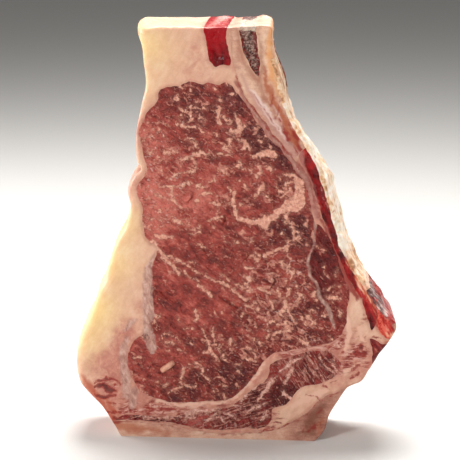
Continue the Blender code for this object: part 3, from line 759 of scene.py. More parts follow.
# ---------------------------------------------------------------------------------------------
# The feather bone. The sawn stump of the backbone's spine along the bottom, which the steak
# stands on: pink-beige bone and gristle, scraped by the saw, with red spots at its right end.
# ---------------------------------------------------------------------------------------------
FEATHER_BONE = [
    (-60, -BEYOND), (-60, 7.4), (-53, 7.9), (-44, 7.9), (-34, 7.2), (-22, 6), (-14, 3.8),
    (-6, 3), (12, 3.1), (24.5, 4.8), (33.3, 7.9), (41, 13), (46.5, 18.2), (52.2, 23),
    (57.5, 25.6), (62.2, 27.4), (67, 26), (75, 20), (75, -BEYOND),
]
FEATHER_BLOOD = [[(44, 5, 0.6), (47, 8, 1.0)], [(47, 13, 0.8), (49, 16, 0.9)],
                 [(40, 3, 0.4), (42, 7, 0.5)], [(53, 22, 0.5), (57, 24.5, 0.6)],
                 [(-52, 7.4, 1.1), (-46, 7.6, 0.8), (-38, 7.4, 0.4), (-28, 6.4, 0.3),
                  (-18, 4.6, 0.3)],
                 [(-8, 2.6, 0.4), (2, 2.6, 0.5), (10, 2.8, 0.4), (20, 3.8, 0.3)],
                 [(31, 6.6, 0.3), (39, 11.4, 0.4), (44, 15.6, 0.3), (50, 21, 0.3)]]
FEATHER_BROWN = [[(43, 8, 2), (47, 14, 2.4), (50, 18, 1.6)], [(38, 3, 1), (45, 4, 2)]]
FEATHER_RUST = [[(-51, 5.5, 3), (-44, 4.5, 2.6), (-34, 3.6, 1.6), (-24, 2.4, 0.4)],
                [(50, 12, 0.4), (48, 4, 0.8)]]


def bone_relief(points, rim, back):
    """A sawn face: fine scratches across it, and a few shallow pores."""
    seed = 23.0 if back else 11.0
    scratches = bumps(points * (0.25, 1.6), 1.8, seed)
    return 0.1 * scratches + 0.12 * bumps(points, 3.0, seed)


STAIN_MIDDLE = 1.6                   # the depth at which half of a bone's stain shows


def bone_material(name, tones, stains, angle):
    """Sawn bone and gristle, cloudy and streaked: stains are (field, colour, share, softness)."""
    paint = Paint(name, 0.5, 0.15, 0.15)
    cloud = paint.noise(7, 3, 0.55)
    saw = paint.noise(1.4, 2, 0.6, 0.2, paint.turned(4, 5))
    fine = paint.noise(0.7, 2)
    shade = paint.total((cloud, 0.55), (saw, 0.3), (fine, 0.2), (paint.field("tone"), 0.3))
    colour = paint.ramp(shade, tones)
    patches = paint.noise(2.0, 4, 0.65, 0.6, paint.turned(angle, 2.4))
    for field, stain, share, soft in stains:
        colour = paint.cover(colour, paint.frayed(field, patches, 2.6), STAIN_MIDDLE - soft,
                             STAIN_MIDDLE + soft, share, stain)
    height = paint.total((saw, 0.5), (fine, 0.5))
    return paint.finish(colour, height, 0.25, paint.total((cloud, 0.3), plus=0.3))


feather_border = border(FEATHER_BONE)
feather_bone_sawn = tissue("feather_bone_sawn", feather_border, [], {
    "blood": from_strokes(FEATHER_BLOOD), "brown": from_strokes(FEATHER_BROWN),
    "rust": from_strokes(FEATHER_RUST),
    "tone": from_dabs([(46, 9, 10, -0.8), (55, 21, 7, -0.2), (-46, 4, 12, 0.5),
                       (0, 1, 20, 0.4), (26, 1, 10, 0.2)])}, bone_relief)
feather_paint = bone_material("feather_bone_sawn", [(0.25, "8a4c3c"), (0.4, "ac7462"),
                                                    (0.55, "c8947e"), (0.75, "e0b8a0")],
                              [("rust", "b06040", 0.8, 1.8), ("brown", "7a4c3a", 0.65, 1.2),
                               ("blood", "8c241c", 0.85, 0.7)], 4)
dressed(feather_bone_sawn, feather_paint, "bone", "feather_bone")


# ---------------------------------------------------------------------------------------------
# The lower muscle. A long flat muscle above the backbone, cut along its fibres, so that bright
# stripes of fat run across it between dark bundles.
# ---------------------------------------------------------------------------------------------
LOWER_MUSCLE = [
    (-50.2, 9.6), (-46, 10.8), (-30, 10.2), (-22, 11.2), (-13, 14.6), (-2, 15), (5.4, 16.6),
    (14.7, 24.5), (20.5, 28.8), (23.6, 33), (25.4, 38.6), (34, 42), (44, 45.6), (52, 45.6),
    (58.6, 40.2), (57.4, 35.2), (52, 30), (39.6, 27), (36.6, 23.5), (32, 18), (26.4, 15.6),
    (24.8, 10), (22, 6.6), (6, 5.2), (-9, 4.6), (-20, 6.8), (-36, 8), (-47, 8.6),
]
LOWER_SEAMS = [
    [(29, 34.5, 0.5), (34, 39, 0.7), (39, 42, 0.6)],
    [(35, 36, 1.1), (33.5, 32, 1), (32, 28.5, 0.8)],
    [(25.5, 30.5, 0.9), (22.5, 25, 0.8), (18.5, 20, 0.7)], [(31, 24.5, 1), (35, 20.5, 0.6)],
    [(20.5, 31, 0.5), (14.5, 24, 0.5), (10, 19, 0.5)], [(23.5, 14, 0.8), (20.5, 10, 0.6)],
    [(-24, 12, 0.9), (-16, 13.6, 2.0), (-8, 14.4, 1.5), (-2, 15.2, 0.9)],
    [(-2.5, 15.5, 0.4), (4, 17.5, 0.5), (10, 16.5, 0.4)],
    [(-6, 9, 0.4), (-3, 11.5, 0.5), (0, 10.5, 0.4), (2, 8, 0.3)],
    [(-40, 10.4, 0.3), (-30, 9.6, 0.35), (-20, 9.4, 0.3)],
    [(-7.5, 11.5, 0.4), (0, 13.5, 0.4), (8, 11, 0.4)],
    [(12.5, 14, 0.4), (17.5, 16, 0.4), (22.5, 19, 0.4)],
    [(-30.5, 10, 0.4), (-22, 11, 0.4), (-12.5, 10, 0.4)],
    [(47.5, 43, 0.5), (51, 38, 0.5), (54.5, 35, 0.6)], [(53.5, 40.5, 0.5), (57.5, 35.5, 0.6)],
]
LOWER_TONES = [(33, 24, 6, -1.0), (30, 20, 5, -0.7), (-36, 9, 14, -0.8), (6, 10, 14, -0.2),
               (20, 14, 8, -0.6),
               (46, 38, 10, -0.65), (17, 26, 8, -0.5), (10, 12, 10, -0.3)]
LOWER_FLECKS = [(46, 38, 14, 0.3), (6, 12, 14, 0.6), (-36, 9, 14, -0.2), (32, 23, 6, -1.0)]

lower_border = border(LOWER_MUSCLE)
lower_lean = tissue("lower_lean", lower_border, [feather_border], {
    "seam": from_strokes(LOWER_SEAMS), "tone": from_dabs(LOWER_TONES),
    "fleck": from_dabs(LOWER_FLECKS),
    "flow": lambda points, rim, back: 1 - fade(points[:, 0], 22, 34)}, lean_relief())
lower_paint = lean_material("lower_lean", [(0.3, "4e0f0e"), (0.45, "7a211e"), (0.6, "9a362f"),
                                           (0.8, "c0645a")],
                            [(0.25, "8a3e34"), (0.4, "ae685a"), (0.55, "ce9282"),
                             (0.75, "ecbcac")],
                            -58, 0.6, 0.9)
dressed(lower_lean, lower_paint, "lean", "lower_muscle")


# ---------------------------------------------------------------------------------------------
# The cap strip. A ribbon of wet, blood-red muscle that runs up through the fat and over the
# top of the steak, painted brighter towards the top and pale over it as painted highlight.
# ---------------------------------------------------------------------------------------------
CAP_STRIP = [
    (-7.6, 202 + BEYOND), (-7.2, 201), (-6, 193), (-5.2, 187.5), (-1.8, 183.2), (0.5, 184.8),
    (5, 184.4), (4.2, 191), (3.3, 198), (3.6, 202 + BEYOND),
]


def blood_material(name, tones, pale, angle):
    """Wet lean soaked with blood: long soft streaks, dark pools and a few pale threads."""
    paint = Paint(name, 0.3, 0.1, 0.1)
    streak = paint.noise(2.2, 3, 0.6, 0.3, paint.turned(angle, 4))
    fine = paint.noise(0.8, 2, 0.6)
    shade = paint.total((paint.noise(6, 2), 0.6), (streak, 0.9), (fine, 0.3),
                        (paint.field("tone"), 0.3), plus=-0.4)
    lean = paint.ramp(shade, tones)
    # A pale layer where the lean thins over pale tissue, and in places a painted highlight.
    lean = paint.cover(lean, paint.frayed("veil_and_highlight", streak, 3.0), 1.4, 3.2, 0.8, pale)
    # Amber: orange fat, whose palest cream streaks are painted highlight.
    gold = paint.ramp(streak, [(0.4, "b82c1c"), (0.5, "dc7450"), (0.62, "f2c0a0")])
    lean = paint.cover(lean, paint.frayed("amber", streak, 3.4), 2.2, 3.2, 0.9, gold)
    thread = paint.frayed("seam", paint.noise(1.5, 2, 0.6, 0.5), 2.2)
    colour = paint.cover(lean, thread, 1.0, 1.7, 0.85, pale)
    height = paint.total((streak, 0.6), (fine, 0.4))
    return paint.finish(colour, height, 0.4, paint.total((paint.noise(3, 2), 0.3), plus=0.15))


NO_THREADS = from_strokes([])

cap_border = border(CAP_STRIP)
cap_strip_lean = tissue("cap_strip_lean", cap_border, [], {
    # The strong dab near the top and the pale stroke over the top face are painted highlight.
    "seam": NO_THREADS, "tone": from_dabs([(-2, 200, 6, 2.1), (0, 185, 4, -0.3)]),
    "veil_and_highlight": from_strokes([[(-8, 204, 2.2), (5, 204, 2.2)]])}, lean_relief())
cap_paint = blood_material("cap_strip_lean", [(0.22, "480206"), (0.36, "660308"), (0.52, "88030d"),
                                              (0.75, "9c0410")], "e09c90", -88)
dressed(cap_strip_lean, cap_paint, "blood_red_lean", "cap_strip_muscle")


# ---------------------------------------------------------------------------------------------
# The rib side's cream. A soft, lumpy layer of pale fat and skin down the rib side, stained
# orange and red where the intercostal lean shows through.
# ---------------------------------------------------------------------------------------------
RIB_SIDE = (79, 188, 2.0)            # lowest and highest z, depth from the skin


def side_layer(lowest, highest, depth):
    """The outline of a thin layer along a stretch of the rib side."""
    stretch = (SKIN[:, 0] > 20) & (SKIN[:, 1] >= lowest) & (SKIN[:, 1] <= highest)
    spots, out = SKIN[stretch, :2], SKIN_OUT[stretch]
    deep = ragged(spots - out * depth)
    return np.concatenate([deep[::-1], spots + out * BEYOND])


side_border = side_layer(*RIB_SIDE)
SIDE_STAINS = [[(46, 141, 1)], [(51, 131.5, 1)], [(54, 120, 1)], [(54, 114, 1.2)],
               [(61, 92, 1), (63.5, 86, 1.4)], [(66, 82, 1.8), (67, 80, 1.8)]]


def side_relief(points, rim, back):
    """Soft grains of fat."""
    return 0.3 * bumps(points, 2.4, 13.0) + 0.2


rib_side_cream = tissue("rib_side_cream", side_border, [], {
    "blood": from_strokes(SIDE_STAINS),
    "tone": from_dabs([(47, 140, 12, 0.2), (56, 108, 14, 0.2), (29, 176, 12, -0.5),
                       (64, 86, 8, -0.4)])}, side_relief)
paint = Paint("rib_side_cream", 0.45, 0.25, 0.2)
lump = paint.noise(5.5, 3, 0.55)
grain = paint.noise(1.6, 2, 0.5)
shade = paint.total((lump, 1.1), (grain, 0.5), (paint.field("tone"), 0.3), plus=-0.25)
cream = paint.ramp(shade, [(0.3, "b07c56"), (0.41, "dca87e"), (0.51, "f0ceaa"), (0.68, "faecdc")])
cream = paint.cover(cream, paint.noise(9, 3, 0.6, 0.6), 0.56, 0.72, 0.4, "d48e58")
stain = paint.frayed("blood", paint.noise(4.5, 4, 0.65, 0.8), 9.0)
cream = paint.cover(cream, stain, 4.6, 6.4, 0.7, "b23a2c")
height = paint.total((lump, 0.7), (grain, 0.4))
side_paint = paint.finish(cream, height, 1.3, paint.total((grain, 0.3), plus=0.2))
dressed(rib_side_cream, side_paint, "side_fat", "rib_side_fat")


# ---------------------------------------------------------------------------------------------
# The marrow. The dark, spongy core of the rib, open where the saw went through it: a brown
# net of thin bone with blood in its pores, which are darkened further with painted shade.
# ---------------------------------------------------------------------------------------------
MARROW = [
    (9, 203 + BEYOND), (9.2, 201), (11, 191.5), (13, 186.8), (18.6, 179.6), (19, 185),
    (18, 193), (17.3, 201), (17.3, 203 + BEYOND),
]


def marrow_relief(points, rim, back):
    """Open pores between thin walls."""
    seed = 61.0 if back else 19.0
    return -0.5 - 0.5 * np.abs(bumps(points, 1.6, seed)) - 0.3 * bumps(points, 3.0, seed)


marrow_border = border(MARROW)
marrow_spongy = tissue("marrow_spongy", marrow_border, [], {
    "cap": from_strokes([[(6, 204, 3.2), (20, 204, 3.2)]])}, marrow_relief)
paint = Paint("marrow_spongy", 0.4, 0.0, 0.1)
crumb = paint.noise(1.9, 4, 0.7, 1.0)
shaded_pore = paint.step(paint.noise(1.5, 3, 0.6, 0.6), 0.5, 0.42)
core = paint.ramp(crumb, [(0.32, "4a2a28"), (0.42, "7a5048"), (0.52, "a07a6e"), (0.64, "ccae9e")])
# The pores turn near black: dark blood in them, with painted shade.
core = paint.mix(paint.times(shaded_pore, 0.75), core, tint("2c1210"))
rim = paint.step(paint.field("rim"), 2.8, 0.2)
spot = paint.times(rim, paint.step(paint.noise(1.6, 2), 0.42, 0.54))
core = paint.mix(paint.times(spot, 0.9), core, tint("841c1a"))
core = paint.cover(core, paint.frayed("cap", crumb, 2.0), 0.4, 1.2, 1.0, "ecd2bc")
height = paint.total((shaded_pore, -0.7), (crumb, 1))
marrow_paint = paint.finish(core, height, 1.4, paint.total((crumb, 0.5), plus=0.1))
dressed(marrow_spongy, marrow_paint, "marrow", "rib_marrow")


# ---------------------------------------------------------------------------------------------
# The rib bone. Pale sawn bone at the top, which turns into pink gristle as it tapers down the
# rib side, bloody and wet where the rib's skin was pulled off it.
# ---------------------------------------------------------------------------------------------
RIB = [
    (4.6, 203 + BEYOND), (4.6, 202), (5.4, 192), (7.4, 182.5), (9.7, 174.5), (13.5, 167),
    (21, 157.6), (28.8, 147.5), (34.2, 141), (36.8, 138.2), (40, 145), (52, 150),
    (25 + BEYOND, 186), (25 + BEYOND, 203 + BEYOND),
]
RIB_BLOOD = [[(28, 159, 0.9), (28.5, 157.5, 1.0)], [(31, 153, 1.3), (33, 149, 1.5)],
             [(29, 168, 0.4), (27, 163, 0.6), (26, 159, 0.5)],
             [(25.5, 170, 0.5), (24.5, 165, 0.6)],
             [(33, 156, 0.6), (36, 150, 0.9), (38.5, 144, 1.4)], [(35, 146, 0.4), (37, 142, 0.8)],
             [(9.5, 199, 0.6), (10.5, 197.5, 0.3)], [(18.5, 199, 0.5)],
             [(16, 170, 0.3), (22, 162, 0.5), (28, 154, 0.5)],
             [(30.5, 155, 0.9), (32.5, 151.5, 1.0)]]
RIB_WHITE = [[(15, 173, 0.8), (19, 167, 1.4), (24, 159.5, 1.4), (28.5, 153.5, 1.2),
              (33, 147.5, 0.4)], [(25, 165, 0.4), (29, 158, 0.6)]]
# The warm edge along the rib side's cream, which is painted highlight, and the brown halo
# round the marrow.
RIB_WARM_HIGHLIGHT = [[(24, 201, 1.4), (23.8, 190, 1.8), (25, 180, 1.6), (28, 171, 1.0)]]
RIB_HALO = [[(7.8, 201, 1.2), (9.4, 192, 1.6), (12, 185, 1.6), (18.4, 176, 2.0), (20.2, 184, 1.4),
             (19.4, 193, 1.2), (18.4, 201, 0.8)],
            [(18.4, 178, 1.6), (22, 168, 1.6), (26, 163, 1.4)], [(5.4, 201, 0.6), (5.8, 189, 0.3)]]
# The line of blood between the rib and the fat.
RIB_LINE = [[(7.2, 183, 0.0), (7.8, 179, 0.2), (9.7, 174.5, 0.5), (13.5, 167.2, 0.3),
             (21, 157.8, 0.25), (28.8, 147.7, 0.2), (34.4, 141, 0.2)]]
# The wet pinkish band along the eye, and the rusty one between it and the rib side's cream.
RIB_WET = [[(10, 180, 0.8), (13, 174, 1.4), (17.5, 167, 1.9), (24, 158.5, 2.2), (30.5, 149.5, 2.2),
            (36, 142.5, 2)]]
RIB_RUST = [[(20.5, 184, 0.4), (22.5, 176, 1.4), (25, 168.5, 2), (29, 161, 1.7), (33, 154, 1.8),
             (37, 147, 2)], [(22, 196, 0.5), (22, 189, 0.4)]]

rib_border = border(RIB)
rib_bone_sawn = tissue("rib_bone_sawn", rib_border, [marrow_border, side_border], {
    "blood": deepest(from_strokes(RIB_BLOOD), from_strokes(RIB_LINE, 0.4)),
    "wet": from_strokes(RIB_WET), "rust": from_strokes(RIB_RUST), "pale": from_strokes(RIB_WHITE),
    "warm": from_strokes(RIB_WARM_HIGHLIGHT), "halo": from_strokes(RIB_HALO),
    "tone": from_dabs([(22, 194, 12, 0.6), (6, 196, 6, 0.1), (16, 172, 9, 0.25),
                       (24, 176, 8, 0.3), (18, 163, 6, -0.3), (27, 153, 7, -0.4),
                       (34, 145, 7, -0.5)])}, bone_relief)
rib_paint = bone_material("rib_bone_sawn", [(0.25, "94584c"), (0.4, "b68272"), (0.55, "cfa088"),
                                            (0.75, "e6c2a6")],
                          # The warm edge is painted highlight.
                          [("warm", "e09858", 0.8, 1.6), ("halo", "a26450", 0.75, 1.6),
                           ("wet", "be8c80", 0.7, 1.2), ("rust", "ac5836", 0.85, 1.0),
                           ("pale", "ead0c6", 0.8, 1.0),
                           ("blood", "8e1c16", 0.9, 0.7)], -56)
dressed(rib_bone_sawn, rib_paint, "bone", "rib_bone")


# ---------------------------------------------------------------------------------------------
# The corner's skin. A thin grey membrane that wraps the rib side just above the right corner,
# glossy, with white threads, partly painted highlight lines, and blood under its edges.
# ---------------------------------------------------------------------------------------------
CORNER_SKIN = (60, 77, 1.5)


def skin_material(name, blood_from, blood_to, red):
    """A wet grey membrane with pale threads, partly painted highlight lines, and blood that
    thickens from one y to the other.
    """
    paint = Paint(name, 0.25, 0.4, 0.1)
    thread = paint.noise(1.6, 3, 0.6, 0.8, paint.turned(-45, 5))
    cloud = paint.noise(4.5, 3, 0.6)
    # The palest threads are partly painted highlight lines along the membrane.
    grey = paint.ramp(paint.total((thread, 0.6), (cloud, 0.5)),
                      [(0.4, "301416"), (0.49, "5a3836"), (0.57, "8a6660"), (0.66, "dcc0b6")])
    depth = paint.add("ShaderNodeSeparateXYZ", {0: paint.place}).outputs[1]
    clots = paint.noise(3.4, 3, 0.6, 0.8, paint.turned(-45, 2))
    blood = paint.total((paint.step(depth, blood_from * MM, blood_to * MM), 0.24), (clots, 1),
                        (paint.field("blood"), 0.2))
    colour = paint.cover(grey, blood, 0.54, 0.64, 0.85, red)
    height = paint.total((thread, 0.6), (cloud, 1))
    return paint.finish(colour, height, 0.5, paint.total((cloud, 0.3), plus=0.12))


corner_skin_border = side_layer(*CORNER_SKIN)
corner_skin = tissue("corner_skin", corner_skin_border, [], {
    "blood": from_dabs([(83, 61, 5, 1.2)])}, side_relief)
dressed(corner_skin, skin_material("corner_skin", -12, 14, "aa1c16"), "membrane",
        "corner_membrane")


# ---------------------------------------------------------------------------------------------
# The intercostal lean. The narrow strip of meat from between two ribs, which follows the rib
# side down to the corner: wet and blood red, with pale threads along it.
# ---------------------------------------------------------------------------------------------
INTERCOSTAL = [
    (38.2, 141), (42.8, 131), (46, 121.5), (49, 111.5), (54.5, 99), (58.4, 89.5), (63, 80.5),
    (68.5, 71.5), (71, 64), (73.7, 56.3), (75.7, 60), (75.6, 65), (73, 71.5), (68, 78.6),
    (80, 90), (64, 117), (58, 140), (44, 149), (41, 146),
]
INTERCOSTAL_THREADS = [[(48, 126, 0.3), (51, 116, 0.3)], [(57, 99, 0.4), (61, 90, 0.3)],
                       [(66, 79, 0.3), (70, 71, 0.4)]]
# Where it thins out over pale tissue: along its left side and at its upper end.
INTERCOSTAL_VEIL = [[(37, 143.5, 3), (41, 134, 1.6), (44.8, 123, 1.8), (48.2, 113, 1.6),
                     (52, 103, 1.0)]]
# The film of orange fat along its right side, towards the corner; on the lean its palest
# streaks are painted highlight.
AMBER_STREAK = [[(45.5, 141.5, 0.5), (48.2, 134.5, 1.2), (50.9, 127, 1.3), (53, 119, 0.9),
                 (55, 110, 0.4)],
                [(55, 106, 0.5), (58.5, 98, 0.8), (62, 89.5, 1.6), (65, 84, 2.1),
                 (68.5, 78.5, 2.2), (71.5, 73.5, 1.6), (74.6, 67.5, 1.3), (75.8, 62, 1.1),
                 (76.5, 57, 0.9)]]

intercostal_border = border(INTERCOSTAL)
intercostal_lean = tissue("intercostal_lean", intercostal_border,
                          [rib_border, side_border, corner_skin_border], {
    "seam": from_strokes(INTERCOSTAL_THREADS), "veil_and_highlight": from_strokes(INTERCOSTAL_VEIL),
    "amber": from_strokes(AMBER_STREAK, 0.5),
    "tone": from_dabs([(52, 112, 9, -0.2), (58, 94, 9, -0.4), (73, 61, 4, -0.4),
                       (69, 71, 6, 0.5)])},
    lean_relief())
intercostal_paint = blood_material("intercostal_lean", [(0.28, "400305"), (0.42, "6c0608"),
                                                        (0.58, "920c0e"), (0.72, "b0201a"),
                                                        (0.85, "d05a48")], "b4746a", -67)
dressed(intercostal_lean, intercostal_paint, "blood_red_lean", "intercostal_muscle")


# ---------------------------------------------------------------------------------------------
# The corner lean. The bright red end of the rib strip, on the tip of the right corner: wet,
# streaked with orange fat, paler above, and with pale streaks of painted highlight on its tip.
# ---------------------------------------------------------------------------------------------
CORNER = [
    (68.8, 78.2), (73.6, 71.8), (76.2, 65), (76.2, 59), (77.5, 55.5), (82, 52.5), (90, 54),
    (88, 64), (74, 84),
]
# Pale streaks over the tip: painted highlight.
CORNER_HIGHLIGHT = [[(79, 63, 0.2), (81, 56, 0.8)], [(82, 62, 1.0), (85.5, 57, 1.8), (82.5, 52.5, 1.6)]]


def above_corner(points, rim, back):
    """The pale tissue that the corner thins out into, above it."""
    return 4 * fade(points[:, 1], 75, 77) - 1


corner_border = border(CORNER)
corner_lean = tissue("corner_lean", corner_border,
                     [intercostal_border, corner_skin_border, side_border], {
    "seam": NO_THREADS, "veil_and_highlight": deepest(from_strokes(CORNER_HIGHLIGHT), above_corner),
    "amber": from_strokes(AMBER_STREAK + [[(78, 55.5, 1.2), (82, 53.5, 1.6)]], 0.5),
    "tone": from_dabs([(80, 58, 6, 0.45)])}, lean_relief())
corner_paint = blood_material("corner_lean", [(0.28, "5c0a0c"), (0.42, "8e1614"),
                                              (0.56, "bc281e"), (0.7, "e06a56")], "f0ceb2", -60)
dressed(corner_lean, corner_paint, "blood_red_lean", "corner_muscle")


# ---------------------------------------------------------------------------------------------
# The edge lean. A small dark red wedge of muscle on the slope below the right corner, cut
# through with the rest of the slice and held in the fat.
# ---------------------------------------------------------------------------------------------
EDGE_LEAN = [
    (73, 52.4), (75.5, 51.4), (78, 49.8), (84, 50), (86, 46), (78, 38), (75, 38.5), (73.7, 42),
    (74, 46.5), (72.7, 49.5),
]
edge_border = border(EDGE_LEAN)
edge_lean = tissue("edge_lean", edge_border, [], {
    "seam": from_strokes([[(74.5, 44, 0.2), (76, 47, 0.2)]]),
    "tone": from_dabs([(76, 46, 6, -0.2)])}, lean_relief())
edge_paint = blood_material("edge_lean", [(0.28, "380405"), (0.42, "5c0808"), (0.58, "7c120e"),
                                          (0.78, "9c3026")], "b06c5c", -50)
dressed(edge_lean, edge_paint, "lean", "edge_muscle")


# ---------------------------------------------------------------------------------------------
# The rib's rear skin. A rag of the rib's own skin that is left on the back half of the rib
# side near the top, grey-red and glossy.
# ---------------------------------------------------------------------------------------------
REAR_SKIN = (168, 194)               # lowest and highest z
REAR_START = 3                       # it reaches from this y to the back face
REAR_DEPTH = 0.5                     # how thick it is

stretch = np.where((SKIN[:, 0] > 20) & (SKIN[:, 1] > REAR_SKIN[0])
                   & (SKIN[:, 1] < REAR_SKIN[1]))[0]
bpy.ops.object.select_all(action="DESELECT")
bpy.ops.mesh.primitive_grid_add(x_subdivisions=len(stretch) - 1, y_subdivisions=24, size=2)
rear_skin = bpy.context.object
rear_skin.name = rear_skin.data.name = "rear_skin"
grid = vertex_places(rear_skin.data)
ends = 0.16 * bumps(grid[:, 1:2] * 3, 1.0, 4.0) * np.sign(grid[:, 0]) * np.abs(grid[:, 0]) - 0.1
row = stretch[0] + (grid[:, 0] * (1 + ends) + 1) / 2 * (len(stretch) - 1)
end = fade(np.abs(grid[:, 0]), 0.3, 1.0)
start = REAR_START + 2.2 * bumps(grid[:, :1] * 6, 2.0, 8.0) + 6 * end
level = (start + (HALF - start) * (grid[:, 1] + 1) / 2) / HALF
rear_skin.data.vertices.foreach_set("co", placed(along_loop(SKIN[:, :2], row), level, 0).ravel())
rear_skin.data.update()
bpy.ops.object.mode_set(mode="EDIT")
bpy.ops.mesh.select_all(action="SELECT")
bpy.ops.mesh.normals_make_consistent(inside=False)
bpy.ops.object.mode_set(mode="OBJECT")
thick = rear_skin.modifiers.new("thickness", "SOLIDIFY")
thick.thickness = REAR_DEPTH * MM
thick.offset = 1
bpy.ops.object.modifier_apply(modifier="thickness")
bpy.ops.object.shade_smooth_by_angle(angle=SMOOTH_ANGLE)
dressed(rear_skin, skin_material("rear_skin", 8, 30, "8a1416"), "membrane", "rear_membrane")


# ---------------------------------------------------------------------------------------------
# The fat. The firm cap of fat that holds the whole slice together: cream, glowing yellow along
# its outer left edge, pinker towards the lean and the bone, veined with blood at the bottom,
# and sheathed with silvery grey tissue along the eye's left side.
# ---------------------------------------------------------------------------------------------
SILVERSKIN = SILVER_FILM + [
    [(9.5, 173, 0.3), (11.2, 169.8, 0.6), (18.2, 159.2, 0.6), (26.4, 148, 0.7), (31, 144, 0.9),
     (37.8, 134.4, 1.0), (41.5, 129.3, 0.9), (44, 121.4, 0.6)],
    [(-40.5, 59.5, 0.9), (-43.5, 57.5, 1.8), (-46, 53.5, 1.3)],
    [(-45.5, 49.5, 1.7), (-47.4, 42.5, 2.7), (-47, 35.5, 2.5), (-46.2, 28.5, 2.7),
     (-45.4, 21, 2.7)],
    [(-42, 23, 2.4), (-43.2, 16, 2.2)],
]
FAT_BLOOD = [
    [(-61, 27.5, 0.7), (-57, 29.5, 1.1), (-52.5, 28.5, 0.9), (-49, 26.5, 0.5)],
    [(-61.5, 25, 0.9), (-57.5, 25.5, 1.6), (-54, 23.5, 1.8), (-50.5, 23, 0.7)],
    [(-60, 20.5, 1), (-56.5, 20, 1.4), (-52, 20.5, 0.9)], [(-55.5, 16.5, 0.7), (-49, 16.5, 0.4)],
    [(-55, 13, 0.6), (-50, 12, 0.9), (-47, 12, 0.4)], [(-52, 9.4, 0.9), (-47, 8.6, 0.6)],
    [(-53.5, 22, 0.4), (-52, 26, 0.5)],
    [(-44, 12.6, 0.4), (-36, 12.2, 0.5), (-27, 12, 0.4)],
    [(-38, 14.6, 0.3), (-31, 15.2, 0.5), (-24, 14.4, 0.4)],
    [(62, 44, 0.6), (66, 45.5, 1.0), (68.5, 48, 1.2)], [(66.5, 43.5, 0.9), (70, 44, 1.0)],
    [(65, 37, 1.1), (67, 38.5, 0.9)], [(64, 33, 0.8), (66.5, 34.5, 0.7)], [(69.5, 64, 0.6)],
    [(71, 53, 0.6)], [(59.5, 45.5, 0.5)],
    [(-34.5, 13.5, 0.4), (-27, 14.5, 0.4), (-19.5, 13.5, 0.4)],
    [(-29.5, 17, 0.3), (-23.5, 16.5, 0.4)],
    [(-22, 11.5, 0.4), (-12.5, 12.5, 0.5), (-3, 14.5, 0.4), (1, 15, 0.3)],
    [(36, 9.5, 0.4), (41.5, 13, 0.4), (47, 18.5, 0.4), (51.5, 22.5, 0.4)],
    [(14.5, 3, 0.5), (24, 4.5, 0.5), (31, 6.5, 0.5), (36.5, 9.5, 0.4)],
    [(51, 28, 0.7), (54, 27, 0.5)], [(42, 23.5, 0.5), (48, 21.5, 0.4)],
    [(74, 53, 0.6), (78, 52, 0.5)],
    [(14.5, 165.5, 0.0), (20, 157.5, 0.3), (27.5, 148.4, 0.4), (33, 142, 0.4), (38, 135, 0.2)],
]
# Salmon dabs, where the fat is thin over lean, and redder ones, where blood has soaked it.
FAT_PINK = [
    (-50, 21, 12, 0.8), (-60, 36, 9, 0.4), (-34, 17, 8, 0.5), (-40, 12, 12, 0.6),
    (-16, 12, 16, 0.8), (14, 5, 12, 0.8), (-20, 18, 10, 0.4), (4, 20, 8, 0.6), (14, 29, 6, 0.8),
    (20, 36, 6, 0.8), (28, 44, 6, 0.8), (40, 47, 6, 0.8), (52, 49, 7, 0.8), (40, 18, 9, 0.3),
    (58, 32, 10, 0.5), (66, 46, 10, 0.5), (66, 60, 9, 0.3), (72, 36, 8, 0.6), (54, 46, 8, 0.6),
    (44, 118, 7, 0.9), (40, 130, 6, 0.9), (34, 140, 6, 0.8), (22, 156, 6, 0.9),
    (12, 172, 6, 0.4), (8, 180, 5, 0.15), (-4, 180, 6, 0.2), (-14, 181, 9, 0.35),
    (-9, 191, 7, 0.45), (-52, 34, 7, 0.5), (-50, 43, 6, 0.6), (-38, 20, 6, 0.5),
    (-28, 18, 6, 0.5), (-36, 64, 8, 0.5), (-46, 52, 7, 0.8), (-42, 40, 8, 0.6),
    (64, 76, 6, 0.5), (-40, 150, 9, 0.6), (-42, 126, 7, 0.5), (-36, 104, 5, 0.5),
    (46, 108, 5, 0.6),
]
# Where the red strip's blood soaked into the fat beside it.
SOAKED_FAT = [[(36, 143, 0.6), (40.5, 133, 0.8), (44.8, 121.5, 0.6), (48.6, 110, 1.4),
               (54, 98, 2.2), (58.5, 88, 2.7), (62, 79, 3.2), (67, 72, 1.8)],
              [(64.5, 80.5, 0.8), (70, 72.5, 1.2), (74.8, 67, 2.2), (76, 61, 2.4), (76, 57, 1.0)]]
FAT_RED = [
    (-32, 12.5, 9, 0.8), (-14, 13.5, 8, 0.8), (0, 16, 6, 0.6), (26, 6, 8, 0.7),
    (57, 37, 4, 0.9), (54, 33, 3, 0.7), (-46, 12, 6, 0.8), (46, 118, 4, 0.5), (43, 126, 4, 0.4),
    (32, 45, 4, 1.1), (36, 47, 5, 1.5), (43, 48, 5, 1.7), (50, 49, 5, 1.7), (55, 50, 4, 1.2),
    (62, 40, 4, 0.7), (67, 46, 4, 1.2), (66, 54, 6, 0.2), (58, 57, 4, 0.7), (59, 50, 3, 0.6),
    (71, 62, 3, 0.5), (70, 40, 4, 0.4), (-56, 24, 6, 0.5),
]
# The lilac band beside the red strip, where thin fat lies over silverskin.
LILAC_BAND = [[(8, 176.5, 0.8), (11.5, 170, 1.2), (15, 165, 1.6), (19, 158, 2), (23.5, 152, 2),
               (27.5, 147, 1.8), (32, 141.5, 1.8), (36, 137, 2), (40, 131, 2.4), (43.5, 123, 2.2),
               (46.5, 112, 1.6)]]
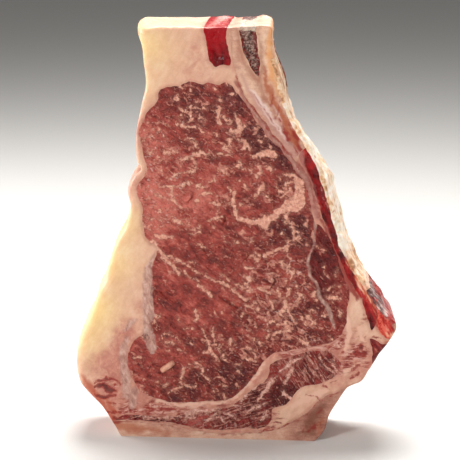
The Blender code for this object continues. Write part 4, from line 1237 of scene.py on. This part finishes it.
# The white line of fat and sinew right below the eye, and rusty skin at the lower left.
WHITE_SEAM = [[(-31, 18.6, 0.8), (-24, 16.6, 1), (-14, 16.8, 1.3), (-4, 18, 0.7), (4, 19.4, 0.6),
               (10, 23.4, 0.9), (17, 31.4, 0.9), (21.6, 38, 0.8)],
              [(36, 17.5, 1.2), (41, 21, 1.6), (47, 23.5, 1.6), (52, 26, 0.8)],
              [(60, 64, 1.2), (63, 55, 1.8), (61, 46, 1.0)], [(67, 58, 1.2), (70, 51, 1.0)],
              [(61, 35, 1.2), (67, 39, 1.0)]]
RUSTY = [[(-68, 30, 0.8), (-64, 25, 2.4), (-61, 19, 2.4), (-57, 13, 2.8), (-52.5, 7, 2.6)],
         [(-56, 18, 1.6), (-50, 11, 1.6)], [(72, 38, 0.6), (78, 46, 0.6), (82, 53, 0.6)]]
FAT_YELLOW = [(-37, 194, 10, 0.7), (-37, 174, 8, 0.4), (-46, 107, 9, 0.7), (-53, 88, 11, 0.9),
              (-62, 64, 12, 1.1), (-66, 46, 10, 0.6), (-28, 190, 12, 0.25)]


def fat_relief(points, rim, back):
    """Firm fat stands a little proud of the lean and was smeared smooth by the knife."""
    seed = 71.0 if back else 29.0
    return 0.25 + 0.15 * bumps(points * (1, 0.5), 5.0, seed) + 0.05 * bumps(points, 1.6, seed)


fat_border = np.array([(-80, -BEYOND), (95, -BEYOND), (95, 215), (-80, 215)], float)
fat_body = tissue("fat_body", fat_border,
                  [eye_border, shell_border, lower_border, cap_border, rib_border, side_border,
                   corner_skin_border, intercostal_border, corner_border, edge_border,
                   feather_border], {
    "silver": from_strokes(SILVERSKIN, 0.4),
    "blood": deepest(from_strokes(FAT_BLOOD), from_strokes(RIB_LINE, 0.4)),
    "pink": from_dabs(FAT_PINK), "red": from_dabs(FAT_RED), "yellow": from_dabs(FAT_YELLOW),
    "band": from_strokes(LILAC_BAND), "soaked": from_strokes(SOAKED_FAT),
    "amber": from_strokes(AMBER_STREAK, 0.5), "white": from_strokes(WHITE_SEAM),
    "rusty": from_strokes(RUSTY)}, fat_relief)
paint = Paint("fat_body", 0.48, 0.12, 0.25)
cloud = paint.noise(9, 3, 0.55)
smear = paint.noise(2.4, 3, 0.6, 0.3, paint.turned(60, 2.5))
fine = paint.noise(0.8, 2)
shade = paint.total((cloud, 0.5), (smear, 0.35), (fine, 0.15))
cream = paint.ramp(shade, [(0.3, "cb9880"), (0.5, "daac92"), (0.7, "e6c2a8")])
salmon = paint.ramp(shade, [(0.3, "a86458"), (0.5, "c2806e"), (0.7, "d8a28c")])
gold = paint.ramp(shade, [(0.3, "eac080"), (0.5, "f2d092"), (0.7, "f9e2ae")])
lilac = paint.ramp(shade, [(0.3, "7c4038"), (0.48, "98584e"), (0.66, "bc8478")])
soaked = paint.ramp(paint.noise(1.8, 4, 0.65, 0.8, paint.turned(4, 3)),
                    [(0.4, "74201c"), (0.48, "9c4438"), (0.54, "b87c6e"), (0.61, "d6a898")])
film = paint.ramp(paint.noise(1.8, 3, 0.6, 0.5, paint.turned(-75, 2)), FILM_TONES)

colour = paint.mix(paint.times(paint.field("yellow"), 0.9), cream, gold)
mottle = paint.total((paint.noise(4.2, 4, 0.6, 0.6), 2.8), plus=-0.4)
colour = paint.cover(colour, paint.times(mottle, paint.field("pink")), 0.05, 1.0, 1.0, salmon)
red = paint.total((paint.noise(2.2, 4, 0.65, 0.6, paint.turned(4, 3)), 3.0),
                  (paint.field("red"), 1), plus=-1.5)
red = paint.times(paint.step(red, 0.2, 0.9), paint.step(paint.field("red"), 0.05, 0.25))
colour = paint.mix(red, colour, soaked)
colour = paint.cover(colour, paint.field("rim"), 2.2, 0.0, 0.55, salmon)
# What lies over the fat, in its order: field, noise that frays it and by how much, the two ends
# of the soft step, share and colour.
FILMS = [
    ("band", (2.4, 3, 0.6, 0.5), 2.0, 0.2, 1.8, 0.85, lilac),
    ("amber", (1.6, 3, 0.6, 0.4), 2.0, 0.8, 2.2, 0.85, "cc5c40"),
    ("soaked", (1.8, 4, 0.65, 0.6, paint.turned(-62, 2.5)), 5.0, 2.2, 4.4, 0.85, "8e1c18"),
    ("silver", (2.4, 3, 0.6, 0.5), 2.0, 0.6, 2.4, 0.9, film),
    ("rusty", (3.2, 4, 0.65, 0.6), 3.4, 0.6, 3.4, 0.8, "b44e34"),
    ("white", (1.6, 3, 0.65, 0.5, paint.turned(4, 4)), 2.4, 0.8, 2.0, 0.85, "e2b49e"),
]
for field, clouds, reach, low, high, share, over in FILMS:
    shown = paint.frayed(field, paint.noise(*clouds), reach)
    colour = paint.cover(colour, shown, low, high, share, over)
blood = paint.frayed("blood", paint.noise(1.7, 3, 0.65, 0.6), 2.4)
clot = paint.mix(paint.step(blood, 1.4, 2.4), tint("98281e"), tint("580a0c"))
colour = paint.cover(colour, blood, 0.9, 1.7, 0.85, clot)
height = paint.total((cloud, 1), (fine, 0.12))
fat_paint = paint.finish(colour, height, 0.4, paint.total((cloud, 0.3), plus=0.3))
dressed(fat_body, fat_paint, "fat", "fat")


# ---------------------------------------------------------------------------------------------
# The loose strip. A sliver of fat, thin and blunt at its ends, that the knife left lying on
# the eye's lower left. It sticks there by itself.
# ---------------------------------------------------------------------------------------------
STRIP_START, STRIP_END, STRIP_RADIUS = (-28.6, 33.8), (-22.8, 38), 1.45
STRIP_PAST_ENDS = 1.08               # how much longer it is than from start to end
STRIP_RISE = 0.45                    # how far its middle lies above the cut face

along = Vector((STRIP_END[0] - STRIP_START[0], 0, STRIP_END[1] - STRIP_START[1]))
bpy.ops.object.select_all(action="DESELECT")
bpy.ops.mesh.primitive_uv_sphere_add(segments=24, ring_count=20, radius=STRIP_RADIUS * MM)
loose_strip = bpy.context.object
loose_strip.name = loose_strip.data.name = "loose_strip"
spots = vertex_places(loose_strip.data) / MM
share = spots[:, 2] / STRIP_RADIUS
spots[:, :2] *= np.sqrt(1 + share ** 2 + share ** 4 + share ** 6)[:, None]
spots[:, 2] *= along.length / 2 / STRIP_RADIUS * STRIP_PAST_ENDS
spots[:, 0] += 0.5 * (spots[:, 2] / along.length) ** 2
spots *= 1 + 0.12 * bumps(spots, 1.6, 3.0)[:, None]
turn = Vector((0, 0, 1)).rotation_difference(along.normalized()).to_matrix()
spots = spots @ np.array(turn).T
spots += ((STRIP_START[0] + STRIP_END[0]) / 2 - MIDDLE_X, -HALF - MIDDLE_Y - STRIP_RISE,
          (STRIP_START[1] + STRIP_END[1]) / 2)
loose_strip.data.vertices.foreach_set("co", (spots * MM).ravel())
loose_strip.data.update()
bpy.ops.object.shade_smooth()
paint = Paint("loose_strip", 0.45, 0.2, 0.25)
cloud = paint.noise(2.0, 3)
strip_paint = paint.finish(paint.ramp(cloud, [(0.3, "b8745c"), (0.5, "d09078"), (0.7, "e0aa90")]),
                           paint.noise(0.9, 2), 0.3)
dressed(loose_strip, strip_paint, "fat")


# ---------------------------------------------------------------------------------------------
# The studio. A pale floor, soft lights and the camera, to look at the steak with: none of it
# belongs to the object.
# ---------------------------------------------------------------------------------------------
bpy.ops.object.select_all(action="DESELECT")
bpy.ops.mesh.primitive_plane_add(size=8, location=(0, 0, cad_box[0].z))
floor = bpy.context.object
floor.name = "floor"
floor_paint = bpy.data.materials.new("floor")
floor_paint.use_nodes = True
shader = floor_paint.node_tree.nodes["Principled BSDF"]
shader.inputs["Base Color"].default_value = tint("cfccc8")
shader.inputs["Roughness"].default_value = 0.6
floor.data.materials.append(floor_paint)

world = bpy.data.worlds.new("studio")
world.use_nodes = True
sky = world.node_tree.nodes["Background"]
sky.inputs["Color"].default_value = tint("dcdbd9")
sky.inputs["Strength"].default_value = 0.26
bpy.context.scene.world = world
bpy.context.scene.view_settings.view_transform = "Standard"

# Softboxes: name, place, where it points, width (all in metres), power in watts.
SOFTBOXES = [
    ("front", (-0.5, -1.1, 0.8), (0, 0, 0.1), 0.8, 4),
    ("key", (-0.45, -0.95, 0.75), (0, 0, 0.1), 0.07, 6.5),
    ("above", (0.0, 0.3, 0.85), (0, 0, 0.16), 0.45, 13),
    ("left_rim", (-0.75, 0.3, 0.35), (-0.04, 0, 0.1), 0.4, 6),
    ("right_rim", (0.75, 0.35, 0.4), (0.04, 0, 0.1), 0.4, 3),
]
for name, place, target, width, power in SOFTBOXES:
    bpy.ops.object.light_add(type="AREA", location=place)
    lamp = bpy.context.object
    lamp.name = name
    lamp.data.size = width
    lamp.data.energy = power
    lamp.rotation_euler = (Vector(place) - Vector(target)).to_track_quat("Z", "Y").to_euler()

# The camera stands a little to the right and looks slightly down on the middle of the cut face.
SWING, RISE, AWAY, LENS = math.radians(5), math.radians(12), 1.15, 187.5
aim = Vector((-1.79, -19.45, 104.43)) * MM
back = Vector((math.sin(SWING) * math.cos(RISE), -math.cos(SWING) * math.cos(RISE),
               math.sin(RISE)))
bpy.ops.object.camera_add(location=aim + back * AWAY,
                          rotation=back.to_track_quat("Z", "Y").to_euler())
camera = bpy.context.object
camera.data.lens = LENS
camera.data.clip_start = 0.05
bpy.context.scene.camera = camera
